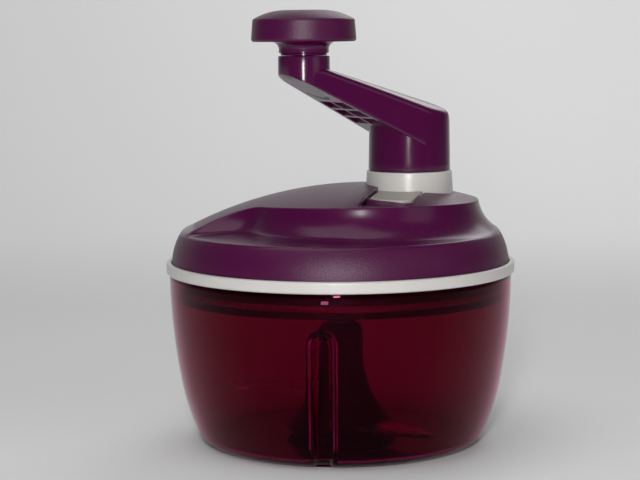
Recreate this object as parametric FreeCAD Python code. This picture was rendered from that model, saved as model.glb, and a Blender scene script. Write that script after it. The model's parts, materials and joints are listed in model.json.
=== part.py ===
import FreeCAD, Part
import math
import os
from FreeCAD import Vector

# Crank food chopper. Millimetres. The origin is the centre of the foot, on the surface it stands on.
# +Z is up, -Y is the front, and the crank stands to the right of the middle, at +X.

# Clearances
RUNNING = 0.05
SLIDING = 0.15
AIR = 0.3
FACE = 0.2

# Bowl: a barrel of three tangent arcs, from the brim down to the foot
BRIM_RADIUS = 88.4
BRIM_HEIGHT = 88.4
BRIM_LEAN = 0.5
BELLY_LEAN = 10.5
LOW_LEAN = 24.0
BELLY_ARC = 3.6312 * BRIM_HEIGHT
LOW_ARC = 1.3462 * BRIM_HEIGHT
BOWL_WALL = 2.8
FOOT_LIFT = 0.6
FLOOR_TOP = FOOT_LIFT + BOWL_WALL
BASE_RING_OUTER = BRIM_RADIUS - 21.9
BASE_RING_INNER = BASE_RING_OUTER - 5.0
BASE_RING_GROOVE = 1.2

# Flute pressed into the front wall
FLUTE_X = -9.8
FLUTE_WIDTH = 9.5
FLUTE_TOP = BRIM_HEIGHT - 20.4
FLUTE_DEPTH = 3.0

# Pin in the bowl's floor, and the blade unit that turns on it
PIN_RADIUS = 4.0
PIN_TOP = BRIM_HEIGHT - 45.4
PIN_BOSS_RADIUS = 8.5
PIN_BOSS_HEIGHT = 3.0
HUB_RADIUS = 11.5
HUB_TOP = BRIM_HEIGHT - 26.6
HUB_CAP_HEIGHT = 9.0
HUB_CAP_EDGE = 5.0
HUB_CAP_FLAT_RADIUS = 5.6
BELL_RADIUS = 29.0
BELL_TOP = BRIM_HEIGHT - 38.4
BELL_WALL = 2.0
HUB_FLOOR_GAP = 0.4
HUB_BOTTOM = FLOOR_TOP + PIN_BOSS_HEIGHT + HUB_FLOOR_GAP
FOOT_BUSH_RADIUS = 6.5
FOOT_BUSH_LENGTH = 9.0
SOCKET_GAP = 2.5
BLADE_THICKNESS = 1.2
BLADE_WIDTH = 19.0
BLADE_SWEEP = 9.0
UPPER_BLADE_HEIGHT = 29.5
UPPER_BLADE_REACH = 67.0
UPPER_BLADE_ANGLE = 184.0
LOWER_BLADE_HEIGHT = 10.0
LOWER_BLADE_REACH = 66.0
LOWER_BLADE_ANGLE = -52.0

# Drive: the crank stands beside the blade axis, and the gears join the two
GEAR_MODULE = 1.0
GEAR_TEETH = 54
PINION_TEETH = 18
PRESSURE_ANGLE = 20.0
BACKLASH = 0.2
TOOTH_CLEARANCE = 0.25
GEAR_WIDTH = 6.5
GEAR_WEB = 3.0
GEAR_RIM = 4.0
GEAR_HUB_RADIUS = 9.0
GEAR_HOLE_RADIUS = 4.2
GEAR_HOLES = 6
PINION_HUB_RADIUS = 6.4
PINION_OVERLAP = 0.4
SHAFT_FLATS = 10.0
SHAFT_RADIUS = 6.0
SHAFT_JOURNAL = 4.0
SHAFT_SOCKET = 23.0
SPINDLE_FLATS = 8.0
SPINDLE_JOURNAL = 4.75
SPINDLE_TOP_JOURNAL = 3.0
SPINDLE_BUSH_WALL = 1.2
SPINDLE_BOTTOM = BRIM_HEIGHT - 40.9
BUSH_WALL = 1.6
BUSH_LENGTH = 7.0
WASHER_RADIUS = 7.6
WASHER_THICKNESS = 0.8

# Lid: deck with its plug, ring, cover and collar
PLUG_BOTTOM = BRIM_HEIGHT - 12.4
PLUG_GAP = 0.8
PLUG_WALL = 2.2
DECK_TOP = BRIM_HEIGHT
DECK_THICKNESS = 2.4
DECK_BOSS_RADIUS = 7.6
DECK_BOSS_BOTTOM = BRIM_HEIGHT - 25.4
DECK_BOSS_RISE = 3.0
SHAFT_BOSS_RADIUS = 8.0
SHAFT_BOSS_DEPTH = 5.2
SHAFT_PIT = 3.8
DECK_RIB_WIDTH = 1.6
DECK_RIB_HEIGHT = 4.0
DECK_RIB_START = 12.0
DECK_RIBS = 8
FLANGE_THICKNESS = 2.0
FLANGE_RADIUS = BRIM_RADIUS - 1.1
FLANGE_TOP = BRIM_HEIGHT + FLANGE_THICKNESS
GASKET_HEIGHT = BRIM_HEIGHT - 7.4
GASKET_SECTION = 3.0
GASKET_SEAT = 1.2
RING_RADIUS = BRIM_RADIUS + 1.6
RING_BOTTOM = BRIM_HEIGHT + 0.3
RING_TOP = RING_BOTTOM + 5.9
RING_FOOT = 2.0
RING_BEAD = 1.9
SKIRT_RADIUS = BRIM_RADIUS - 1.2
SKIRT_ARC = 33.0
RING_FOOT_RADIUS = SKIRT_RADIUS - 3.2
COVER_BOTTOM = FLANGE_TOP + RING_FOOT
SHOULDER_HEIGHT = BRIM_HEIGHT + 21.6
LEDGE_RISE = 2.4
COVER_WALL = 2.4
CROWN_CENTRE = 12.0
CROWN_RADIUS = BRIM_RADIUS - 28.4
TAIL_TIP_HALF = 16.0
TAIL_ROOT_HALF = 23.0
TAIL_ROOT_X = -45.0
TAIL_TIP_X = -84.0
TAIL_BLEND = 22.0
SCOTIA_ARC = 21.3
SCOTIA_FOOT_LEANS = (66.0, 56.0, 46.0, 36.0, 26.0)
SCOTIA_TOP_LEAN = 14.0
SCOTIA_TOP = SHOULDER_HEIGHT + 13.5
DOME_TOP = SHOULDER_HEIGHT + 23.8
DOME_X = 14.0
DOME_ARC_X = 205.0
DOME_ARC_Y = 250.0
ABOVE_DOME = DOME_TOP + 5.0
COLLAR_RADIUS = 21.9
COLLAR_FOOT_RADIUS = 22.5
COLLAR_TOP = DOME_TOP + 6.8
COLLAR_WALL = 2.4
COLLAR_FOOT_TOP = DOME_TOP - 3.8
COLLAR_PLATE_BOTTOM = COLLAR_TOP - COLLAR_WALL
COLLAR_BOSS_RADIUS = 11.0
COLLAR_FLANGE_RADIUS = 30.0
COLLAR_FLANGE_BOTTOM = DOME_TOP - 14.8
COLLAR_FLANGE_THICKNESS = 2.4
COLLAR_FLANGE_TOP = COLLAR_FLANGE_BOTTOM + COLLAR_FLANGE_THICKNESS

# Heights inside the lid
GEAR_BOTTOM = DECK_TOP + 5.6
GEAR_TOP = GEAR_BOTTOM + GEAR_WIDTH
GEAR_HUB_BOTTOM = DECK_TOP + 4.0
PINION_BOTTOM = DECK_TOP + DECK_BOSS_RISE + FACE
PINION_TOP = GEAR_TOP + PINION_OVERLAP
CRANK_X = GEAR_MODULE * (GEAR_TEETH + PINION_TEETH) / 2

# Bridge over the gears, on four posts
BRIDGE_BOTTOM = GEAR_TOP + 2.4
BRIDGE_THICKNESS = 2.6
BRIDGE_LEFT_X = -14.0
BRIDGE_LEFT_HALF = 13.5
BRIDGE_RIGHT_X = 70.0
BRIDGE_RIGHT_HALF = 11.5
BRIDGE_POST_RADIUS = 3.2
BRIDGE_LEFT_POST = (BRIDGE_LEFT_X - 4.0, 9.0)
BRIDGE_RIGHT_POST = (BRIDGE_RIGHT_X, 7.5)

# Release tab
TAB_ANGLE = -105.5
TAB_WIDTH = 22.5
TAB_LENGTH = 22.5
TAB_THICKNESS = 2.6
TAB_SLOPE = 5.5
TAB_ROOT = COLLAR_FOOT_RADIUS + AIR
TAB_ROOT_HEIGHT = DOME_TOP - 2.4
TAB_CORNER = 6.5
TAB_SIDE_GAP = 0.7
TAB_POCKET_FLOOR = DOME_TOP - 10.3
TAB_POCKET_WALL = 1.8
TAB_SCOOP_FLOOR = DOME_TOP - 7.2
TAB_SCOOP_REACH = 17.0
TAB_PIN_RADIUS = 0.7
TAB_PIN_HOLD = 1.8
TAB_BEAD_RADIUS = 1.7
TAB_BEAD_MARGIN = 3.0

# Crank
CRANK_ANGLE = 208.0
CRANK_THROW = 60.8
TOWER_BOTTOM = COLLAR_TOP + 0.4
TOWER_RADIUS = 21.1
TOWER_TOP_RADIUS = 20.4
TOWER_BOSS_RADIUS = 8.6
SHAFT_SOCKET_BOTTOM = TOWER_BOTTOM + 1.0
ARM_TOP_AT_AXIS = TOWER_BOTTOM + 37.4
ARM_TOP_SLOPE = 17.0
ARM_UNDER_START = TOWER_BOTTOM + 23.0
ARM_UNDER_SLOPE = 27.3
ARM_HEEL_ARC = 22.0
ARM_CROWN_ARC = 40.0
ARM_SIDEWAYS = 50.0
ARM_RIBS = 3
ARM_RIB_STEP = 8.0
ARM_RIB_LIFT = 1.2
NECK_RADIUS = 12.9
NECK_TOP = TOWER_BOTTOM + 59.0
NECK_PLATE = 3.5
CRANK_WALL = 2.4
RIB_THICKNESS = 1.6
ABOVE_ARM = ARM_TOP_AT_AXIS + 10.0

# Knob
KNOB_GAP = 0.2
GROOVE_RADIUS = 11.6
GROOVE_HEIGHT = 1.2
STEM_RADIUS = 12.5
STEM_FLARE_BOTTOM = NECK_TOP + 3.8
STEM_FLARE_RADIUS = 17.2
KNOB_SPINDLE_RADIUS = 5.0
KNOB_RADIUS = 26.2
KNOB_EDGE_BOTTOM = NECK_TOP + 7.0
KNOB_EDGE_ROUND = 1.5
KNOB_STEM_TOP = KNOB_EDGE_BOTTOM + 3.0
KNOB_SIDE_TOP_RADIUS = 25.5
KNOB_SIDE_TOP = NECK_TOP + 17.0
KNOB_SHOULDER_RADIUS = 24.6
KNOB_SHOULDER_HEIGHT = NECK_TOP + 18.5
KNOB_DOME_FLAT_RADIUS = 10.0
KNOB_TOP = NECK_TOP + 22.6
KNOB_WALL = 2.4
KNOB_DISC_RADIUS = KNOB_RADIUS - KNOB_WALL - 0.6
KNOB_WASHER_RADIUS = 8.5
KNOB_WASHER_THICKNESS = 1.2
KNOB_WASHER_TOP = NECK_TOP - NECK_PLATE - KNOB_GAP

# Screws
SCREW_RADIUS = 1.5
SCREW_HEAD_RADIUS = 2.8
SCREW_HEAD_HEIGHT = 1.8
SCREW_SLOT = 0.8
SCREW_SLOT_DEPTH = 1.0
DECK_SCREW_LENGTH = 11.0
COLLAR_SCREW_LENGTH = 7.0
KNOB_SCREW_LENGTH = 9.0
COVER_POST_CIRCLE = BRIM_RADIUS - 12.9
COVER_POST_RADIUS = 4.0
COVER_POST_START = 30.0
COVER_SCREWS = 6
COLLAR_POST_RADIUS = 3.2
COLLAR_POST_CIRCLE = COLLAR_FOOT_RADIUS + 4.1
COLLAR_POST_TURNS = (80.0, 180.0, 280.0)


def cylinder(radius, bottom, top, x=0.0, y=0.0):
    return Part.makeCylinder(radius, top - bottom, Vector(x, y, bottom))


def tube(outer, inner, bottom, top, x=0.0, y=0.0):
    return cylinder(outer, bottom, top, x, y).cut(cylinder(inner, bottom, top, x, y))


def cone(low_radius, high_radius, bottom, top, x=0.0, y=0.0):
    return Part.makeCone(low_radius, high_radius, top - bottom, Vector(x, y, bottom))


def turned(edges):
    """A solid turned about the Z axis from a closed outline in the XZ plane."""
    face = Part.Face(Part.Wire(edges))
    return face.revolve(Vector(0, 0, 0), Vector(0, 0, 1), 360)


def flat_outline(points):
    """Straight edges round a closed outline of radius and height pairs."""
    corners = [Vector(radius, 0, height) for radius, height in points]
    return Part.makePolygon(corners + corners[:1]).Edges


def line(start, end):
    return Part.LineSegment(Vector(*start), Vector(*end)).toShape()


def arc(start, middle, end):
    return Part.Arc(Vector(*start), Vector(*middle), Vector(*end)).toShape()


def prism(wire, bottom, top):
    """An upright prism over a closed wire drawn at height zero."""
    base = Part.Face(wire)
    base.translate(Vector(0, 0, bottom))
    return base.extrude(Vector(0, 0, top - bottom))


def hexagon(flats, bottom, top, x=0.0, y=0.0):
    corner = flats / math.sqrt(3)
    angles = [math.radians(60 * k) for k in range(6)]
    points = [Vector(x + corner * math.cos(a), y + corner * math.sin(a), 0) for a in angles]
    return prism(Part.makePolygon(points + points[:1]), bottom, top)


def screw(x, y, head_top, length, pointing_down=True):
    """A round-headed screw whose head sits on the face it clamps."""
    way = -1 if pointing_down else 1
    seat = head_top + way * SCREW_HEAD_HEIGHT
    tip = seat + way * length
    head = cylinder(SCREW_HEAD_RADIUS, min(head_top, seat), max(head_top, seat), x, y)
    slot = Part.makeBox(2 * SCREW_HEAD_RADIUS, SCREW_SLOT, SCREW_SLOT_DEPTH)
    slot_bottom = head_top - (SCREW_SLOT_DEPTH if pointing_down else 0.0)
    slot.translate(Vector(x - SCREW_HEAD_RADIUS, y - SCREW_SLOT / 2, slot_bottom))
    shank = cylinder(SCREW_RADIUS, min(seat, tip), max(seat, tip), x, y)
    return head.cut(slot).fuse(shank)


def save(node, shape):
    clean = shape.removeSplitter()
    clean.exportStep("parts/" + node + ".step")
    print(node, "solids", len(clean.Solids), "valid", clean.isValid(), "volume", round(clean.Volume, 1))


# Bowl

def barrel_centres():
    """Centres of the three arcs of the bowl's outside, and the radius of the last one."""
    brim, belly, low = (math.radians(a) for a in (BRIM_LEAN, BELLY_LEAN, LOW_LEAN))
    belly_centre = (BRIM_RADIUS - BELLY_ARC * math.cos(brim), BRIM_HEIGHT + BELLY_ARC * math.sin(brim))
    step = BELLY_ARC - LOW_ARC
    low_centre = (belly_centre[0] + step * math.cos(belly), belly_centre[1] - step * math.sin(belly))
    low_end = low_centre[1] - LOW_ARC * math.sin(low)
    corner = (low_end - FOOT_LIFT) / (1 - math.sin(low))
    step = LOW_ARC - corner
    corner_centre = (low_centre[0] + step * math.cos(low), low_centre[1] - step * math.sin(low))
    return belly_centre, low_centre, corner_centre, corner


def barrel_point(centre, radius, lean):
    lean = math.radians(lean)
    return (centre[0] + radius * math.cos(lean), 0, centre[1] - radius * math.sin(lean))


def barrel_radius(height, inset=0.0):
    """Radius of the bowl's side at a height on its upper arc."""
    centre = barrel_centres()[0]
    reach = BELLY_ARC - inset
    return centre[0] + math.sqrt(reach ** 2 - (centre[1] - height) ** 2)


def barrel(inset):
    """The solid inside the bowl's outside, drawn in by an inset."""
    belly, low, corner, corner_arc = barrel_centres()
    spans = (
        (belly, BELLY_ARC - inset, BRIM_LEAN, BELLY_LEAN),
        (low, LOW_ARC - inset, BELLY_LEAN, LOW_LEAN),
        (corner, corner_arc - inset, LOW_LEAN, 90.0),
    )
    edges = []
    for centre, radius, first, last in spans:
        start = barrel_point(centre, radius, first)
        middle = barrel_point(centre, radius, (first + last) / 2)
        end = barrel_point(centre, radius, last)
        edges.append(arc(start, middle, end))
    top = barrel_point(belly, BELLY_ARC - inset, BRIM_LEAN)
    above = BRIM_HEIGHT + BOWL_WALL + inset
    foot = barrel_point(corner, corner_arc - inset, 90.0)
    edges.append(line(foot, (0, 0, foot[2])))
    edges.append(line((0, 0, foot[2]), (0, 0, above)))
    edges.append(line((0, 0, above), (top[0], 0, above)))
    edges.append(line((top[0], 0, above), top))
    return turned(edges)


def arch_prism(grow):
    """An arch-topped upright prism through the front wall, where the flute is."""
    half = FLUTE_WIDTH / 2 + grow
    spring = FLUTE_TOP - FLUTE_WIDTH / 2
    reach = BRIM_RADIUS + BOWL_WALL
    left = FLUTE_X - half
    right = FLUTE_X + half
    edges = [
        line((left, -reach, -1), (right, -reach, -1)),
        line((right, -reach, -1), (right, -reach, spring)),
        arc((right, -reach, spring), (FLUTE_X, -reach, spring + half), (left, -reach, spring)),
        line((left, -reach, spring), (left, -reach, -1)),
    ]
    return Part.Face(Part.Wire(edges)).extrude(Vector(0, reach / 2, 0))


def bowl():
    outside = barrel(0.0).common(cylinder(BRIM_RADIUS + 1.0, 0, BRIM_HEIGHT))
    inside = barrel(BOWL_WALL)
    rib_zone = inside.cut(barrel(BOWL_WALL + FLUTE_DEPTH))
    rib = arch_prism(BOWL_WALL).common(rib_zone)
    channel = arch_prism(0.0).cut(barrel(FLUTE_DEPTH))
    boss = cylinder(PIN_BOSS_RADIUS, FLOOR_TOP - 1, FLOOR_TOP + PIN_BOSS_HEIGHT)
    shell = outside.cut(inside).fuse([rib, boss]).cut(channel)
    shell = shell.cut(cylinder(PIN_RADIUS, FLOOR_TOP - 1, PIN_TOP))
    groove = tube(BASE_RING_OUTER, BASE_RING_INNER, 0, FOOT_LIFT + BASE_RING_GROOVE)
    return shell.cut(groove)


def base_ring():
    return tube(BASE_RING_OUTER, BASE_RING_INNER, 0, FOOT_LIFT + BASE_RING_GROOVE)


def bowl_pin():
    return cylinder(PIN_RADIUS, FLOOR_TOP - 1, PIN_TOP)


# Blade unit

def bell_outline(inset):
    """Radius and height of the hub's bell-shaped foot, from its rim up to the post."""
    post = HUB_RADIUS - inset
    rim_radius = BELL_RADIUS - inset
    rise = BELL_TOP - HUB_BOTTOM
    start = (rim_radius, 0, HUB_BOTTOM)
    middle = (post + 0.27 * (rim_radius - post), 0, HUB_BOTTOM + 0.42 * rise)
    end = (post, 0, BELL_TOP)
    return start, middle, end


def blade_hub():
    top = HUB_TOP - HUB_CAP_HEIGHT
    start, middle, end = bell_outline(0.0)
    outer = turned([
        arc(start, middle, end),
        line(end, (HUB_RADIUS, 0, top)),
        line((HUB_RADIUS, 0, top), (0, 0, top)),
        line((0, 0, top), (0, 0, HUB_BOTTOM)),
        line((0, 0, HUB_BOTTOM), start),
    ])
    start, middle, end = bell_outline(BELL_WALL)
    hollow = turned([
        arc(start, middle, end),
        line(end, (0, 0, BELL_TOP)),
        line((0, 0, BELL_TOP), (0, 0, HUB_BOTTOM)),
        line((0, 0, HUB_BOTTOM), start),
    ])
    core = cylinder(FOOT_BUSH_RADIUS + BUSH_WALL, HUB_BOTTOM, BELL_TOP)
    hub = outer.cut(hollow.cut(core))
    hub = hub.cut(cylinder(PIN_RADIUS + RUNNING, HUB_BOTTOM, PIN_TOP + 1))
    hub = hub.cut(cylinder(FOOT_BUSH_RADIUS, HUB_BOTTOM, HUB_BOTTOM + FOOT_BUSH_LENGTH))
    hub = hub.cut(hexagon(SPINDLE_FLATS + 2 * SLIDING, PIN_TOP + SOCKET_GAP, top))
    for blade in (upper_blade(), lower_blade()):
        hub = hub.cut(blade)
    return hub


def hub_cap():
    bottom = HUB_TOP - HUB_CAP_HEIGHT
    dome_start = HUB_TOP - HUB_CAP_EDGE
    edges = [
        line((0, 0, bottom), (HUB_RADIUS, 0, bottom)),
        line((HUB_RADIUS, 0, bottom), (HUB_RADIUS, 0, dome_start)),
        arc((HUB_RADIUS, 0, dome_start), (0.83 * HUB_RADIUS, 0, HUB_TOP - 0.32 * HUB_CAP_EDGE),
            (HUB_CAP_FLAT_RADIUS, 0, HUB_TOP)),
        line((HUB_CAP_FLAT_RADIUS, 0, HUB_TOP), (0, 0, HUB_TOP)),
        line((0, 0, HUB_TOP), (0, 0, bottom)),
    ]
    return turned(edges).cut(hexagon(SPINDLE_FLATS + 2 * SLIDING, bottom, HUB_TOP))


def foot_bush():
    return tube(FOOT_BUSH_RADIUS, PIN_RADIUS + RUNNING, HUB_BOTTOM, HUB_BOTTOM + FOOT_BUSH_LENGTH)


def blade(height, reach, angle):
    """A thin curved blade with its tang in the hub, drawn along +X and turned to its angle."""
    root = FOOT_BUSH_RADIUS + 1.0
    back = BLADE_WIDTH / 2
    tip_y = BLADE_SWEEP
    middle = (root + reach) / 2
    edges = [
        line((root, -back * 0.6, 0), (root, back * 0.6, 0)),
        arc((root, back * 0.6, 0), (middle, back + 0.35 * BLADE_SWEEP, 0), (reach, tip_y, 0)),
        arc((reach, tip_y, 0), (0.62 * reach, -back + 0.12 * BLADE_SWEEP, 0), (root, -back * 0.6, 0)),
    ]
    shape = Part.Face(Part.Wire(edges)).extrude(Vector(0, 0, BLADE_THICKNESS))
    shape.translate(Vector(0, 0, height))
    shape.rotate(Vector(0, 0, 0), Vector(0, 0, 1), angle)
    return shape


def upper_blade():
    return blade(UPPER_BLADE_HEIGHT, UPPER_BLADE_REACH, UPPER_BLADE_ANGLE)


def lower_blade():
    return blade(LOWER_BLADE_HEIGHT, LOWER_BLADE_REACH, LOWER_BLADE_ANGLE)


# Gears

def gear_wire(teeth, turn, x):
    """Outline of a spur gear with involute flanks, its first tooth's middle at the given turn."""
    pitch = GEAR_MODULE * teeth / 2
    base = pitch * math.cos(math.radians(PRESSURE_ANGLE))
    tip = pitch + GEAR_MODULE
    root = pitch - GEAR_MODULE * (1 + TOOTH_CLEARANCE)
    involute_angle = math.tan(math.radians(PRESSURE_ANGLE)) - math.radians(PRESSURE_ANGLE)
    half_tooth = (math.pi * GEAR_MODULE / 2 - BACKLASH) / 2 / pitch

    def flank(radius):
        if radius <= base:
            return half_tooth + involute_angle
        pressure = math.acos(base / radius)
        return half_tooth + involute_angle - (math.tan(pressure) - pressure)

    def at(radius, angle):
        return Vector(x + radius * math.cos(angle), radius * math.sin(angle), 0)

    low = max(root, base)
    steps = [low + (tip - low) * k / 4 for k in range(5)]
    edges = []
    for tooth in range(teeth):
        middle = turn + 2 * math.pi * tooth / teeth
        after = middle + 2 * math.pi / teeth
        up = [at(r, middle - flank(r)) for r in steps]
        down = [at(r, middle + flank(r)) for r in reversed(steps)]
        if root < low:
            up.insert(0, at(root, middle - flank(low)))
            down.append(at(root, middle + flank(low)))
        for points in (up, down):
            edges += Part.makePolygon(points).Edges
        edges.append(Part.Arc(up[-1], at(tip, middle), down[0]).toShape())
        gap_end = at(root, after - flank(low))
        edges.append(Part.Arc(down[-1], at(root, middle + math.pi / teeth), gap_end).toShape())
    return Part.Wire(Part.__sortEdges__(edges))


def drive_gear():
    teeth = prism(gear_wire(GEAR_TEETH, math.pi, CRANK_X), GEAR_BOTTOM, GEAR_TOP)
    rim = GEAR_MODULE * GEAR_TEETH / 2 - GEAR_RIM
    web_bottom = GEAR_BOTTOM + (GEAR_WIDTH - GEAR_WEB) / 2
    for bottom, top in ((GEAR_BOTTOM, web_bottom), (web_bottom + GEAR_WEB, GEAR_TOP)):
        teeth = teeth.cut(tube(rim, GEAR_HUB_RADIUS, bottom, top, CRANK_X))
    gear = teeth.fuse(cylinder(GEAR_HUB_RADIUS, GEAR_HUB_BOTTOM, GEAR_TOP, CRANK_X))
    middle = (rim + GEAR_HUB_RADIUS) / 2
    for x, y in round_places(GEAR_HOLES, middle, 30.0, CRANK_X):
        gear = gear.cut(cylinder(GEAR_HOLE_RADIUS, GEAR_BOTTOM, GEAR_TOP, x, y))
    return gear.cut(hexagon(SHAFT_FLATS, GEAR_HUB_BOTTOM, GEAR_TOP, CRANK_X))


def pinion():
    first = math.pi / PINION_TEETH
    teeth = prism(gear_wire(PINION_TEETH, first, 0.0), GEAR_BOTTOM - PINION_OVERLAP, PINION_TOP)
    hub = cylinder(PINION_HUB_RADIUS, PINION_BOTTOM, PINION_TOP)
    return teeth.fuse(hub).cut(hexagon(SPINDLE_FLATS, PINION_BOTTOM, PINION_TOP))


def drive_spindle():
    lower = hexagon(SPINDLE_FLATS, SPINDLE_BOTTOM, DECK_BOSS_BOTTOM)
    journal = cylinder(SPINDLE_JOURNAL, DECK_BOSS_BOTTOM, PINION_BOTTOM)
    upper = hexagon(SPINDLE_FLATS, PINION_BOTTOM, PINION_TOP)
    end = cylinder(SPINDLE_TOP_JOURNAL, PINION_TOP, BRIDGE_BOTTOM + BRIDGE_THICKNESS)
    return lower.fuse([journal, upper, end])


def spindle_bush():
    outer = SPINDLE_JOURNAL + RUNNING + SPINDLE_BUSH_WALL
    return tube(outer, SPINDLE_JOURNAL + RUNNING, DECK_BOSS_BOTTOM, DECK_TOP + DECK_BOSS_RISE)


def crank_shaft():
    foot = cylinder(SHAFT_JOURNAL, DECK_TOP - SHAFT_PIT + FACE, GEAR_HUB_BOTTOM, CRANK_X)
    lower = hexagon(SHAFT_FLATS, GEAR_HUB_BOTTOM, GEAR_TOP, CRANK_X)
    middle = cylinder(SHAFT_RADIUS, GEAR_TOP, SHAFT_SOCKET_BOTTOM, CRANK_X)
    upper = hexagon(SHAFT_FLATS, SHAFT_SOCKET_BOTTOM, SHAFT_SOCKET_BOTTOM + SHAFT_SOCKET, CRANK_X)
    return foot.fuse([lower, middle, upper])


def shaft_washer():
    bottom = DECK_TOP + DECK_BOSS_RISE
    return tube(WASHER_RADIUS, SHAFT_JOURNAL + RUNNING, bottom, bottom + WASHER_THICKNESS, CRANK_X)


# Lid

def plug_radius():
    return barrel_radius(PLUG_BOTTOM, BOWL_WALL) - PLUG_GAP


def round_places(count, circle, first, x=0.0):
    for k in range(count):
        angle = math.radians(first + 360 * k / count)
        yield x + circle * math.cos(angle), circle * math.sin(angle)


def bridge_posts():
    for x, y in (BRIDGE_LEFT_POST, BRIDGE_RIGHT_POST):
        yield x, y
        yield x, -y


def cover_posts():
    return list(round_places(COVER_SCREWS, COVER_POST_CIRCLE, COVER_POST_START))


def collar_posts():
    for turn in COLLAR_POST_TURNS:
        angle = math.radians(TAB_ANGLE + turn)
        yield CRANK_X + COLLAR_POST_CIRCLE * math.cos(angle), COLLAR_POST_CIRCLE * math.sin(angle)


def bridge_screws():
    top = BRIDGE_BOTTOM + BRIDGE_THICKNESS + SCREW_HEAD_HEIGHT
    return Part.Compound([screw(x, y, top, DECK_SCREW_LENGTH) for x, y in bridge_posts()])


def cover_screws():
    head = DECK_TOP - DECK_THICKNESS - SCREW_HEAD_HEIGHT
    return Part.Compound([screw(x, y, head, DECK_SCREW_LENGTH, False) for x, y in cover_posts()])


def collar_screws():
    head = COLLAR_FLANGE_BOTTOM - SCREW_HEAD_HEIGHT
    return Part.Compound([screw(x, y, head, COLLAR_SCREW_LENGTH, False) for x, y in collar_posts()])


def gasket_outer():
    return barrel_radius(GASKET_HEIGHT - GASKET_SECTION / 2, BOWL_WALL) - SLIDING


def gasket_inner():
    return plug_radius() - GASKET_SEAT


def lid_gasket():
    low = GASKET_HEIGHT - GASKET_SECTION / 2
    high = GASKET_HEIGHT + GASKET_SECTION / 2
    lip = (gasket_outer(), GASKET_HEIGHT)
    outline = [(gasket_inner(), low), (plug_radius(), low), lip, (plug_radius(), high), (gasket_inner(), high)]
    return turned(flat_outline(outline))


def lid_deck():
    plug = plug_radius()
    under = DECK_TOP - DECK_THICKNESS
    boss_top = DECK_TOP + DECK_BOSS_RISE
    shaft_boss = cylinder(SHAFT_BOSS_RADIUS, DECK_TOP - SHAFT_BOSS_DEPTH, boss_top, CRANK_X)
    deck = cylinder(plug, PLUG_BOTTOM, DECK_TOP)
    deck = deck.cut(cylinder(plug - PLUG_WALL, PLUG_BOTTOM, under))
    deck = deck.fuse(tube(FLANGE_RADIUS, COVER_POST_CIRCLE + COVER_POST_RADIUS + 1.0, DECK_TOP, FLANGE_TOP))
    deck = deck.fuse([cylinder(DECK_BOSS_RADIUS, DECK_BOSS_BOTTOM, boss_top), shaft_boss])
    deck = deck.fuse([cylinder(BRIDGE_POST_RADIUS, under, BRIDGE_BOTTOM, x, y) for x, y in bridge_posts()])
    rib_length = plug - PLUG_WALL / 2 - DECK_RIB_START
    corner = Vector(DECK_RIB_START, -DECK_RIB_WIDTH / 2, under - DECK_RIB_HEIGHT)
    for k in range(DECK_RIBS):
        rib = Part.makeBox(rib_length, DECK_RIB_WIDTH, DECK_RIB_HEIGHT, corner)
        rib.rotate(Vector(0, 0, 0), Vector(0, 0, 1), (k + 0.5) * 360 / DECK_RIBS)
        deck = deck.fuse(rib.cut(shaft_boss))
    bore = SPINDLE_JOURNAL + RUNNING + SPINDLE_BUSH_WALL
    deck = deck.cut(cylinder(bore, DECK_BOSS_BOTTOM, boss_top))
    deck = deck.cut(cylinder(SHAFT_JOURNAL + RUNNING, DECK_TOP - SHAFT_PIT, boss_top, CRANK_X))
    low = GASKET_HEIGHT - GASKET_SECTION / 2
    deck = deck.cut(tube(plug + 1.0, gasket_inner(), low, low + GASKET_SECTION))
    for x, y in cover_posts():
        deck = deck.cut(cylinder(SCREW_RADIUS, under, DECK_TOP, x, y))
    return deck.cut(bridge_screws())


def gear_bridge():
    bottom = BRIDGE_BOTTOM
    top = bottom + BRIDGE_THICKNESS
    left = BRIDGE_LEFT_HALF
    right = BRIDGE_RIGHT_HALF
    edges = [
        line((BRIDGE_LEFT_X, left, 0), (BRIDGE_RIGHT_X, right, 0)),
        arc((BRIDGE_RIGHT_X, right, 0), (BRIDGE_RIGHT_X + 0.55 * right, 0, 0), (BRIDGE_RIGHT_X, -right, 0)),
        line((BRIDGE_RIGHT_X, -right, 0), (BRIDGE_LEFT_X, -left, 0)),
        arc((BRIDGE_LEFT_X, -left, 0), (BRIDGE_LEFT_X - 0.75 * left, 0, 0), (BRIDGE_LEFT_X, left, 0)),
    ]
    plate = prism(Part.Wire(edges), bottom, top)
    plate = plate.cut(cylinder(SHAFT_RADIUS + AIR, bottom, top, CRANK_X))
    plate = plate.cut(cylinder(SPINDLE_TOP_JOURNAL + RUNNING, bottom, top))
    return plate.cut(bridge_screws())


def ring_outline():
    inner = FLANGE_RADIUS + FACE
    foot_inner = RING_FOOT_RADIUS
    bead = RING_BEAD
    return [
        line((foot_inner, 0, FLANGE_TOP), (inner, 0, FLANGE_TOP)),
        line((inner, 0, FLANGE_TOP), (inner, 0, RING_BOTTOM)),
        line((inner, 0, RING_BOTTOM), (RING_RADIUS - bead, 0, RING_BOTTOM)),
        arc((RING_RADIUS - bead, 0, RING_BOTTOM), (RING_RADIUS, 0, (RING_BOTTOM + RING_TOP) / 2),
            (RING_RADIUS - bead, 0, RING_TOP)),
        line((RING_RADIUS - bead, 0, RING_TOP), (inner, 0, RING_TOP)),
        line((inner, 0, RING_TOP), (inner, 0, COVER_BOTTOM)),
        line((inner, 0, COVER_BOTTOM), (foot_inner, 0, COVER_BOTTOM)),
        line((foot_inner, 0, COVER_BOTTOM), (foot_inner, 0, FLANGE_TOP)),
    ]


def rim_ring():
    return turned(ring_outline())


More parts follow.
